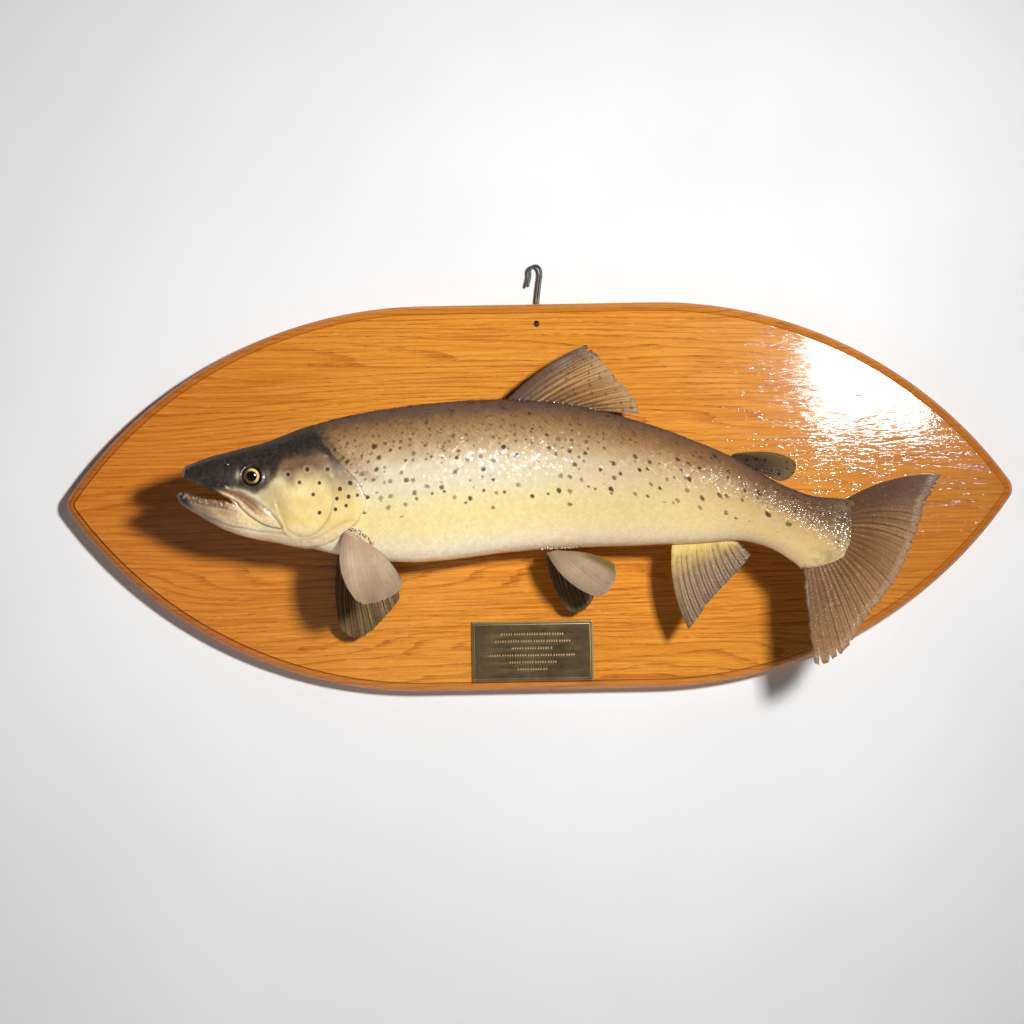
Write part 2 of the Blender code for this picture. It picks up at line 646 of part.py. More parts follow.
def make_paired_fins(parts):
    """Make the pectoral and pelvic fins: the left ones flare out, the right ones hang by the board."""
    fin = make_fin("pectoral_fin_left", [(-189, 94.5, -31), (-176, 92, -38), (-164, 90, -44)],
                   [(-194, 97, -63), (-187, 101, -82), (-177, 105, -97), (-170, 108, -101),
                    (-155, 112, -98), (-137, 114, -89), (-134, 112, -82), (-139, 108, -72),
                    (-148, 101, -60)], 12, 5, -3.0, parts)
    paint(fin, (0.42, 0.37, 0.31), 0.4)
    fin = make_fin("pectoral_fin_right", [(-194, 30, -33), (-184, 27, -37), (-174, 25, -42)],
                   [(-202, 22, -79), (-204, 20, -100), (-203, 20, -120), (-197, 19, -131), (-185, 19, -137.5),
                    (-172, 18, -133), (-155, 17, -117), (-142, 17, -101), (-146, 17, -80)], 12, 5, 1.0, parts)
    paint(fin, (0.22, 0.18, 0.08), 0.45)
    fin = make_fin("pelvic_fin_left", [(6, 46, -56), (18, 47, -55.2), (32, 48, -54.6)],
                   [(14, 56, -66), (21, 60, -77), (29, 64, -86), (40, 68, -93), (56, 72, -98), (66, 74, -92),
                    (72, 74, -80), (70, 72, -66), (60, 67, -59.5), (46, 59, -57)], 12, 5, 2.0, parts)
    paint(fin, (0.42, 0.37, 0.31), 0.4)
    fin = make_fin("pelvic_fin_right", [(5, 30, -56), (17, 29, -55.6), (31, 28, -55)],
                   [(10, 25, -78), (14, 24, -93), (20, 22, -105), (26, 21, -113), (35, 20, -116),
                    (43, 20, -113), (50, 20, -105), (55, 20, -95), (52, 22, -78)], 12, 5, 1.0, parts)
    paint(fin, (0.22, 0.18, 0.08), 0.45)


def main():
    """Build every piece of the mounted trout."""
    clear_scene()
    parts = new_collection("mounted_trout")
    cutters = new_collection("cutters")
    make_board(parts, cutters)
    make_screws(parts)
    make_name_plate(parts)
    make_hanger_hook(parts)
    make_head(parts, cutters)
    make_lower_jaw(parts)
    make_trunk(parts)
    make_tail_stem(parts)
    make_eyes(parts)
    make_maxillae(parts)
    make_gill_covers(parts)
    make_middle_fins(parts)
    make_paired_fins(parts)


if __name__ == "__main__":
    main()
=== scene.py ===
"""A mounted trout on its shaped oak board: the looks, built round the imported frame.

Sizes in the classes are in millimetres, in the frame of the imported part: the board's back lies in the
plane Y = 0, the fish faces -X and its left flank looks out along -Y. A mesh is made in millimetres and
turned into metres in the last step.
"""

import json
import logging
import math
from dataclasses import dataclass
from enum import Enum
from typing import Callable, Optional, Sequence, Union

import bmesh
import bpy
import numpy as np
from mathutils import Matrix, Vector

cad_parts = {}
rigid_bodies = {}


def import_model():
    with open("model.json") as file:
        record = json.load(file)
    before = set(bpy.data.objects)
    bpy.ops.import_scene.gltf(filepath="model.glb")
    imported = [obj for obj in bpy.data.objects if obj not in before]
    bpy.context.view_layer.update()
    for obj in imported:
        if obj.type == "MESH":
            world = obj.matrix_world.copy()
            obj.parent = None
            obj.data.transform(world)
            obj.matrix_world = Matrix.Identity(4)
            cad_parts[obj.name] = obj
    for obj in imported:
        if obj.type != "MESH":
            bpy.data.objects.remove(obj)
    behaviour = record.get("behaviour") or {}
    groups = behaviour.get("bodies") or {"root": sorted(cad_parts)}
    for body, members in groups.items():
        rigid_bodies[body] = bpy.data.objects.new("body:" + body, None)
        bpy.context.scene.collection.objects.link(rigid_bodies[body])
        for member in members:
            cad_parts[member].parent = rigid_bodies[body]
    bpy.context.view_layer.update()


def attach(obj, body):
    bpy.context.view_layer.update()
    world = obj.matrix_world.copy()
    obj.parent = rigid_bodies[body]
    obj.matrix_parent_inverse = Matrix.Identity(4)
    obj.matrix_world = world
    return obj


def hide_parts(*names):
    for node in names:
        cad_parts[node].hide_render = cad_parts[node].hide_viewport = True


LOG = logging.getLogger("mounted_trout")
MM = 0.001
ROOT = "root"
BOARD_THICKNESS = 20.0
HOLE_Z = 173.0
SCREW_PLACES = ((-60.0, 26.0), (62.0, 14.0))
# The least gap between the board's face and the fish or the plate
CLEARANCE = 0.4
# Added to both sides of the charts, so that no place on them is below zero
CHART_SHIFT = 1.0

Array = np.ndarray
Knots = Sequence[tuple[float, float]]
Colour = tuple[float, float, float]
Place = tuple[float, float, float]


# ---------------------------------------------------------------- curves and fields
class SmoothCurve:
    """A smooth function of one value that passes through its knots."""

    def __init__(self, knots: Knots) -> None:
        """Prepare the slopes at the knots.

        Args:
            knots: (place, value) pairs in rising order of place.
        """
        self.places = np.array([k[0] for k in knots], float)
        self.values = np.array([k[1] for k in knots], float)
        last = len(knots) - 1
        after = np.minimum(np.arange(last + 1) + 1, last)
        before = np.maximum(np.arange(last + 1) - 1, 0)
        rise = self.values[after] - self.values[before]
        self.slopes = rise / (self.places[after] - self.places[before])

    def __call__(self, place: Union[Array, float]) -> Array:
        """Work out the curve.

        Args:
            place: one place or an array of them.

        Returns:
            The values there, held level beyond the end knots.
        """
        x = np.clip(place, self.places[0], self.places[-1])
        i = np.clip(np.searchsorted(self.places, x, side="right") - 1, 0, len(self.places) - 2)
        span = self.places[i + 1] - self.places[i]
        t = (x - self.places[i]) / span
        rise = t * t * (3 - 2 * t)
        bend = t * (1 - t) * ((1 - t) * self.slopes[i] - t * self.slopes[i + 1])
        return (1 - rise) * self.values[i] + rise * self.values[i + 1] + span * bend


def mix(a: Array, b: Array, t: Array) -> Array:
    """Blend from a to b."""
    return a + (b - a) * t


def step_up(value: Array, low: float, high: float) -> Array:
    """Rise smoothly from 0 at low to 1 at high."""
    t = np.clip((value - low) / (high - low), 0.0, 1.0)
    return t * t * (3 - 2 * t)


def hump(value: Array, width: float) -> Array:
    """Return a soft bell of height 1 round zero."""
    return np.exp(-((value / width) ** 2))


def unit(vectors: Array) -> Array:
    """Scale vectors to length 1."""
    return vectors / np.maximum(np.linalg.norm(vectors, axis=-1, keepdims=True), 1e-9)


def drift(points: Array, size: float, seed: int) -> Array:
    """Return smooth random values from -1 to 1 that change over space.

    Args:
        points: places, with the last axis holding 2 or 3 coordinates.
        size: distance over which the value changes.
        seed: chooses another pattern.

    Returns:
        One value for each place.
    """
    scaled = points / size
    base = np.floor(scaled).astype(np.int64)
    part = scaled - base
    part = part * part * (3 - 2 * part)
    primes = np.array([73856093, 19349663, 83492791])[: points.shape[-1]]
    total = np.zeros(points.shape[:-1])
    for corner in range(2 ** points.shape[-1]):
        offset = np.array([(corner >> axis) & 1 for axis in range(points.shape[-1])])
        mixed = ((base + offset) * primes).sum(-1) + seed * 2654435761
        mixed = (mixed ^ (mixed >> 13)) * 1274126177 & 0x7FFFFFFF
        mixed = (mixed ^ (mixed >> 16)) & 0xFFFF
        weight = np.prod(np.where(offset == 1, part, 1 - part), axis=-1)
        total += weight * (mixed / 32767.5 - 1)
    return total


def smooth_through(points: Sequence[Sequence[float]], steps: int) -> Array:
    """Draw a smooth line through points.

    Args:
        points: where it passes.
        steps: how many short pieces to make between two points.

    Returns:
        The line's points.
    """
    p = np.array(points, float)
    padded = np.vstack([2 * p[0] - p[1], p, 2 * p[-1] - p[-2]])
    t = (np.arange(1, steps + 1) / steps)[:, None]
    rows = [p[:1]]
    for a, b, c, d in zip(padded, padded[1:], padded[2:], padded[3:]):
        bend = (2 * a - 5 * b + 4 * c - d) * t * t + (3 * b - a - 3 * c + d) * t ** 3
        rows.append(0.5 * (2 * b + (c - a) * t + bend))
    return np.vstack(rows)


class SpacePath:
    """A smooth path through points in space."""

    def __init__(self, points: Sequence[Place], steps: int = 12) -> None:
        """Prepare the path.

        Args:
            points: where it passes.
            steps: how many short pieces to make between two points.
        """
        self.points = smooth_through(points, steps)
        lengths = np.linalg.norm(np.diff(self.points, axis=0), axis=1)
        self.travelled = np.concatenate([[0.0], np.cumsum(lengths)])

    def at(self, share: Union[Array, float]) -> Array:
        """Return the points at shares of the path's length."""
        where = np.asarray(share) * self.travelled[-1]
        return np.stack([np.interp(where, self.travelled, self.points[:, k]) for k in range(3)], -1)


@dataclass(frozen=True)
class Trace:
    """A smooth line on the flank, drawn in side view."""

    points: tuple[tuple[float, float], ...]
    steps: int = 5

    def measure(self, x: Array, z: Array) -> tuple[Array, Array]:
        """Measure places against the line.

        Args:
            x: X of the places.
            z: Z of the places.

        Returns:
            The signed distance, above zero on the line's right hand as it runs, and the share of the
            line's length at the nearest point.
        """
        line = smooth_through(self.points, self.steps)
        start, run = line[:-1], line[1:] - line[:-1]
        length = np.hypot(run[:, 0], run[:, 1])
        travelled = np.concatenate([[0.0], np.cumsum(length)])
        best = np.full(x.shape, 1e9)
        signed, share = np.zeros(x.shape), np.zeros(x.shape)
        for i in range(len(run)):
            dx, dz = x - start[i, 0], z - start[i, 1]
            t = np.clip((dx * run[i, 0] + dz * run[i, 1]) / length[i] ** 2, 0, 1)
            gap = np.hypot(dx - t * run[i, 0], dz - t * run[i, 1])
            nearer = gap < best
            best = np.where(nearer, gap, best)
            turn = np.sign(dx * run[i, 1] - dz * run[i, 0])
            signed = np.where(nearer, gap * turn, signed)
            share = np.where(nearer, (travelled[i] + t * length[i]) / travelled[-1], share)
        return signed, share


# ---------------------------------------------------------------- the fish's form
class Side(Enum):
    """The two sides of the fish."""

    LEFT = 1
    RIGHT = -1


class TroutForm:
    """The shape of the flesh: sections along the body from named curves."""

    snout_x = -343.5
    chin_x = -348.5
    corner_x = -290.0
    snout_z = 28.0
    chin_z = 5.0
    nose_length = 6.0
    jaw_slim = 0.93
    stem_end_x = 270.0
    skin_end_x = 277.0

    def __init__(self) -> None:
        """Set out the form's curves."""
        self.back = SmoothCurve(
            [(-343, 34), (-336, 36.3), (-318, 43), (-290, 50), (-262, 57.5), (-230, 70), (-190, 81),
             (-135, 90), (-77, 95.4), (-28, 96.4), (12, 93.5), (51, 86.2), (109, 68.7), (147, 53.7),
             (185, 36.5), (222, 14), (241, 4), (262, -4), (292, -8.5)])
        self.belly = SmoothCurve(
            [(-349, 0), (-336, -8), (-308, -24.6), (-285, -33.8), (-260, -39), (-234, -44.6),
             (-196, -53.8), (-157, -60.2), (-122, -62.5), (-89, -60.6), (-30, -54.5), (28, -51.5),
             (97, -50.2), (155, -48.7), (188, -46.8), (208, -50), (228, -58.5), (248, -72.5)])
        self.half_width = SmoothCurve(
            [(-349, 13.5), (-325, 18), (-310, 21.3), (-290, 24), (-270, 26), (-245, 29.5), (-215, 33),
             (-180, 36), (-140, 38.5), (-90, 39.5), (-30, 38.5), (30, 35.5), (90, 30.5), (145, 25),
             (185, 19.5), (215, 15), (240, 10.6), (258, 6.2), (270, 2.2), (277, 0.0)])
        self.off_board = SmoothCurve(
            [(-349, 89), (-270, 78), (-180, 61.5), (-90, 46), (-30, 37.4), (20, 35), (60, 39.5),
             (100, 48), (145, 57), (185, 66), (215, 75), (240, 84), (270, 97), (277, 99.6)])
        self.widest = SmoothCurve(
            [(-290, 0.66), (-262, 0.57), (-215, 0.53), (-140, 0.5), (0, 0.48), (270, 0.5)])
        self.upper_power = SmoothCurve([(-349, 2.3), (-262, 2.3), (-140, 2.05), (100, 1.95), (270, 2.0)])
        self.lower_power = SmoothCurve([(-349, 2.2), (-215, 2.1), (-100, 2.25), (100, 2.2), (270, 2.0)])
        self.rib_lean = SmoothCurve(
            [(90, 0), (145, 5), (182, 12), (212, 19), (235, 28), (254, 34), (270, 43)])
        self.rib_bulge = SmoothCurve([(190, 0), (215, 3), (240, 11), (258, 19), (270, 24.5)])
        self.lip = SmoothCurve(
            [(-343, 23.5), (-336, 21.8), (-321, 15.8), (-307, 8), (-297, 2.5), (-290, -4.6)])
        self.rim = SmoothCurve(
            [(-349, 9.5), (-342, 8.5), (-326, 3.2), (-307, 0.2), (-297, -2), (-290, -4.6)])

    def share(self, station: Array, angle: Array) -> tuple[Array, Array]:
        """Work out where an angle from the back lies on a section.

        Args:
            station: place along the body.
            angle: angle from the back, 0 to pi.

        Returns:
            The share of the height from the back, and the share of the half width.
        """
        c, s = np.abs(np.cos(angle)), np.abs(np.sin(angle))
        f = self.widest(station)
        over, under = 2 / self.upper_power(station), 2 / self.lower_power(station)
        high = angle <= math.pi / 2
        height = np.where(high, f * (1 - c ** over), f + (1 - f) * c ** under)
        return height, np.where(high, s ** over, s ** under)

    def flesh(self, station: Array, angle: Array, side: Array) -> Array:
        """Return points of the body.

        Args:
            station: place along the body.
            angle: angle from the back, 0 to pi.
            side: 1 for the left flank, -1 for the right.

        Returns:
            Points, with X, Y and Z on the last axis.
        """
        station, angle, side = np.broadcast_arrays(station, angle, side)
        height, width = self.share(station, angle)
        lean = self.rib_lean(station) / 2
        top_x, low_x = station + lean, station - lean
        top_z, low_z = self.back(station + lean), self.belly(station - lean)
        rib = unit(np.stack([low_x - top_x, low_z - top_z], -1))
        bulge = self.rib_bulge(station) * 4 * height * (1 - height)
        x = mix(top_x, low_x, height) - rib[..., 1] * bulge
        z = mix(top_z, low_z, height) + rib[..., 0] * bulge
        y = self.board_y(self.off_board(station)) - side * self.half_width(station) * width
        return np.stack([x, np.minimum(y, self.board_y(CLEARANCE)), z], -1)

    def jaw_section(self, station: Array, angle: Array, side: Array, upper: bool) -> Array:
        """Return points of the upper head or lower jaw in front of the mouth's corner.

        Args:
            station: place along the jaw.
            angle: angle from the back, 0 to pi / 2 for the upper head and pi / 2 to pi for the jaw.
            side: 1 for the left flank, -1 for the right.
            upper: whether it is the upper head.

        Returns:
            Points, with X, Y and Z on the last axis.
        """
        station, angle, side = np.broadcast_arrays(station, angle, side)
        u = np.clip((station - (self.snout_x if upper else self.chin_x)) / self.nose_length, 0, 1)
        end = np.sqrt(1 - (1 - u) ** 2)
        power = self.upper_power(station) if upper else self.lower_power(station)
        slim = 1.0 if upper else mix(1.0, self.jaw_slim, np.clip((self.corner_x - station) / 20, 0, 1))
        middle = self.snout_z if upper else self.chin_z
        edge = mix(middle, self.lip(station) if upper else self.rim(station), end)
        far = mix(middle, self.back(station) if upper else self.belly(station), end)
        z = mix(edge, far, np.abs(np.cos(angle)) ** (2 / power))
        y = self.half_width(station) * slim * end * np.abs(np.sin(angle)) ** (2 / power)
        return np.stack([station, self.board_y(self.off_board(station)) - side * y, z], -1)

    def flank_y(self, x: Array, z: Array, side: Side) -> Array:
        """Return Y of the flank at places in side view, where the sections stand upright."""
        share = (self.back(x) - z) / (self.back(x) - self.belly(x))
        f = self.widest(x)
        high = share < f
        power = np.where(high, self.upper_power(x), self.lower_power(x))
        c = np.where(high, (f - share) / f, (share - f) / (1 - f))
        width = np.maximum(1 - np.clip(c, 0, 1) ** power, 0.0) ** (1 / power)
        return self.board_y(self.off_board(x)) - side.value * self.half_width(x) * width

    @staticmethod
    def along(station: Array) -> Array:
        """Return how far along the fish a station lies, from 0 at the jaws to 1 at the skin's end."""
        return (station + 350) / 627

    @staticmethod
    def board_y(off: Array) -> Array:
        """Return Y of a point this far off the board's face."""
        return -(BOARD_THICKNESS + off)


FORM = TroutForm()


# ---------------------------------------------------------------- meshes
def add_object(name: str, data: bpy.types.ID) -> bpy.types.Object:
    """Put a new object that holds this data in the scene."""
    obj = bpy.data.objects.new(name, data)
    bpy.context.scene.collection.objects.link(obj)
    return obj


def finish_mesh(name: str, bm: bmesh.types.BMesh, crease: float = 40.0) -> bpy.types.Object:
    """Turn a bmesh in millimetres into an object in metres.

    Args:
        name: the piece's name.
        bm: the mesh, freed here.
        crease: edges sharper than this many degrees are shaded sharp.

    Returns:
        The object, at the origin.
    """
    bmesh.ops.scale(bm, vec=(MM, MM, MM), verts=bm.verts)
    mesh = bpy.data.meshes.new(name)
    bm.to_mesh(mesh)
    bm.free()
    mesh.shade_smooth()
    mesh.set_sharp_from_angle(angle=math.radians(crease))
    return add_object(name, mesh)


def read_points(mesh: bpy.types.Mesh) -> Array:
    """Return a mesh's points as rows of X, Y and Z."""
    flat = np.empty(len(mesh.vertices) * 3)
    mesh.vertices.foreach_get("co", flat)
    return flat.reshape(-1, 3)


def set_attribute(mesh: bpy.types.Mesh, name: str, values: Array) -> None:
    """Store one value for each point of a mesh."""
    layer = mesh.attributes.get(name) or mesh.attributes.new(name, "FLOAT", "POINT")
    layer.data.foreach_set("value", np.ascontiguousarray(values, np.float32))


def get_attribute(mesh: bpy.types.Mesh, name: str) -> Array:
    """Return the stored value of each point of a mesh."""
    values = np.empty(len(mesh.vertices), np.float32)
    mesh.attributes[name].data.foreach_get("value", values)
    return values.astype(float)


def set_uv(mesh: bpy.types.Mesh, name: str, per_point: Array) -> None:
    """Make a UV map from one place for each point of a mesh."""
    corners = np.empty(len(mesh.loops), np.int32)
    mesh.loops.foreach_get("vertex_index", corners)
    layer = mesh.uv_layers.new(name=name)
    layer.uv.foreach_set("vector", per_point[corners].astype(np.float32).ravel())


def grid_mesh(columns: int, rows: int, place: Callable[[Array, Array], dict[str, Array]]) -> bpy.types.Mesh:
    """Lay a grid over a surface.

    Args:
        columns: faces across.
        rows: faces along.
        place: takes shares across and along, 0 to 1, and returns the points under "co" and any
            attributes under their names.

    Returns:
        The mesh in millimetres.
    """
    bm = bmesh.new()
    bmesh.ops.create_grid(bm, x_segments=columns, y_segments=rows, size=1.0)
    mesh = bpy.data.meshes.new("grid")
    bm.to_mesh(mesh)
    bm.free()
    flat = (read_points(mesh) + 1) / 2
    made = place(np.clip(flat[:, 0], 0, 1), np.clip(flat[:, 1], 0, 1))
    mesh.vertices.foreach_set("co", made.pop("co").ravel())
    for name, values in made.items():
        set_attribute(mesh, name, values)
    return mesh


def weld(meshes: Sequence[bpy.types.Mesh], gap: float = 0.004) -> bmesh.types.BMesh:
    """Join meshes into one closed skin.

    Args:
        meshes: the parts, removed here.
        gap: points nearer than this are made one.

    Returns:
        The joined mesh with its faces turned outwards.
    """
    bm = bmesh.new()
    for mesh in meshes:
        bm.from_mesh(mesh)
        bpy.data.meshes.remove(mesh)
    bmesh.ops.remove_doubles(bm, verts=bm.verts, dist=gap)
    bmesh.ops.dissolve_degenerate(bm, edges=bm.edges, dist=0.001)
    bmesh.ops.recalc_face_normals(bm, faces=bm.faces)
    return bm


def dress(obj: bpy.types.Object, finish: "Finish", slot: str, *replaced: str) -> bpy.types.Object:
    """Give a piece its finish, its body and the nodes that it stands for.

    Args:
        obj: the piece.
        finish: what it is finished in.
        slot: the record's material slot; not used.
        replaced: names of the CAD nodes that it replaces.

    Returns:
        The piece.
    """
    obj.data.materials.clear()
    obj.data.materials.append(finish.material())
    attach(obj, ROOT)
    if replaced:
        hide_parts(*replaced)
    LOG.info("%s: %d faces", obj.name, len(obj.data.polygons))
    return obj


# ---------------------------------------------------------------- shading
Socket = Union[bpy.types.NodeSocket, float, Sequence[float]]


def srgb(red: float, green: float, blue: float) -> Colour:
    """Turn screen colour values, 0 to 255, into linear light."""
    return tuple(((c / 255 + 0.055) / 1.055) ** 2.4 if c > 10 else c / 3294 for c in (red, green, blue))


class NodeBench:
    """Short hands for laying out one node tree."""

    def __init__(self, tree: bpy.types.NodeTree) -> None:
        """Keep the tree that the nodes go in."""
        self.tree = tree

    def feed(self, socket: bpy.types.NodeSocket, value: Socket) -> None:
        """Link a socket to another, or set its value."""
        if isinstance(value, bpy.types.NodeSocket):
            self.tree.links.new(value, socket)
        elif socket.type == "RGBA" and len(value) == 3:
            socket.default_value = (*value, 1.0)
        else:
            socket.default_value = value

    def add(self, kind: str, inputs: Optional[dict[Union[str, int], Socket]] = None,
            **settings: object) -> bpy.types.Node:
        """Add a node.

        Args:
            kind: the node's type, without "ShaderNode".
            inputs: what its sockets take, by name or number.
            settings: its properties.

        Returns:
            The node.
        """
        node = self.tree.nodes.new("ShaderNode" + kind)
        for key, value in settings.items():
            setattr(node, key, value)
        for key, value in (inputs or {}).items():
            self.feed(node.inputs[key], value)
        return node

    def math(self, operation: str, a: Socket, b: Socket = 0.0) -> bpy.types.NodeSocket:
        """Add a sum on two values."""
        return self.add("Math", {0: a, 1: b}, operation=operation).outputs[0]

    def times(self, *values: Socket) -> bpy.types.NodeSocket:
        """Multiply values together."""
        product = values[0]
        for value in values[1:]:
            product = self.math("MULTIPLY", product, value)
        return product

    def fade(self, value: Socket, low: float, high: float, start: float = 0.0, end: float = 1.0
             ) -> bpy.types.NodeSocket:
        """Rise or fall smoothly from start at low to end at high."""
        inputs = {"Value": value, "From Min": low, "From Max": high, "To Min": start, "To Max": end}
        return self.add("MapRange", inputs, interpolation_type="SMOOTHSTEP").outputs[0]

    def blend(self, factor: Socket, a: Socket, b: Socket, mode: str = "MIX") -> bpy.types.NodeSocket:
        """Blend colour a with colour b."""
        node = self.add("Mix", {0: factor, 6: a, 7: b}, data_type="RGBA", blend_type=mode)
        return node.outputs[2]

    def coats(self, colour: Socket, *layers: tuple[Socket, Colour]) -> bpy.types.NodeSocket:
        """Lay (how much, screen colour) layers over a colour in turn."""
        for factor, tint in layers:
            colour = self.blend(factor, colour, srgb(*tint))
        return colour

    def ramp(self, value: Socket, stops: Sequence[tuple[float, Colour]]) -> bpy.types.NodeSocket:
        """Turn a value into a colour through (place, screen colour) stops."""
        node = self.add("ValToRGB", {0: value})
        elements = node.color_ramp.elements
        elements.remove(elements[1])
        for number, (place, colour) in enumerate(stops):
            stop = elements[0] if number == 0 else elements.new(place)
            stop.position = place
            stop.color = (*srgb(*colour), 1.0)
        return node.outputs[0]

    def stretch(self, vector: Socket, by: Place) -> bpy.types.NodeSocket:
        """Scale a vector by three factors."""
        return self.add("VectorMath", {0: vector, 1: by}, operation="MULTIPLY").outputs[0]

    def shift(self, vector: Socket, by: Socket) -> bpy.types.NodeSocket:
        """Add a vector to another."""
        return self.add("VectorMath", {0: vector, 1: by}, operation="ADD").outputs[0]

    def noise(self, vector: Socket, size: float, detail: float = 2.0, rough: float = 0.5,
              bend: float = 0.0) -> bpy.types.NodeSocket:
        """Add a soft random pattern whose features are this many millimetres across."""
        inputs = {"Vector": vector, "Scale": 1 / (size * MM), "Detail": detail, "Roughness": rough,
                  "Distortion": bend}
        return self.add("TexNoise", inputs).outputs[0]

    def cells(self, vector: Socket, size: float, random: float = 1.0, feature: str = "F1"
              ) -> bpy.types.Node:
        """Add a flat pattern of cells that are this many millimetres across."""
        inputs = {"Vector": vector, "Scale": 1 / (size * MM), "Randomness": random}
        return self.add("TexVoronoi", inputs, voronoi_dimensions="2D", feature=feature)

    def place(self) -> bpy.types.NodeSocket:
        """Return the place on the object."""
        return self.add("TexCoord").outputs["Object"]

    def stored(self, name: str) -> bpy.types.NodeSocket:
        """Return a value stored on the mesh."""
        return self.add("Attribute", attribute_name=name).outputs["Fac"]

    def bump(self, height: Socket, depth: float, strength: float = 1.0) -> bpy.types.NodeSocket:
        """Turn a height from 0 to 1 into a normal, as relief this many millimetres deep."""
        inputs = {"Height": height, "Distance": depth * MM, "Strength": strength}
        return self.add("Bump", inputs).outputs[0]


class NodeRecipe:
    """A shared effect as a node group, made once and placed in each material that uses it."""

    name = "recipe"
    takes: dict[str, str] = {}
    gives: dict[str, str] = {}

    def lay_out(self, bench: NodeBench, given: bpy.types.NodeSocket) -> dict[str, bpy.types.NodeSocket]:
        """Lay out the group's nodes.

        Args:
            bench: the group's tree.
            given: the outputs of the group's input node.

        Returns:
            What each named output gives.
        """
        raise NotImplementedError

    def group(self) -> bpy.types.NodeTree:
        """Return the group, made at its first use."""
        found = bpy.data.node_groups.get(self.name)
        if found:
            return found
        tree = bpy.data.node_groups.new(self.name, "ShaderNodeTree")
        for way, sockets in (("INPUT", self.takes), ("OUTPUT", self.gives)):
            for label, kind in sockets.items():
                tree.interface.new_socket(label, in_out=way, socket_type="NodeSocket" + kind)
        entry = tree.nodes.new("NodeGroupInput")
        leave = tree.nodes.new("NodeGroupOutput")
        bench = NodeBench(tree)
        for label, socket in self.lay_out(bench, entry.outputs).items():
            tree.links.new(socket, leave.inputs[label])
        return tree

    def use(self, bench: NodeBench, **inputs: Socket) -> bpy.types.bpy_prop_collection:
        """Place the group in a tree.

        Args:
            bench: the tree.
            inputs: what its inputs take, by name.

        Returns:
            The placed group's outputs.
        """
        return bench.add("Group", inputs, node_tree=self.group()).outputs


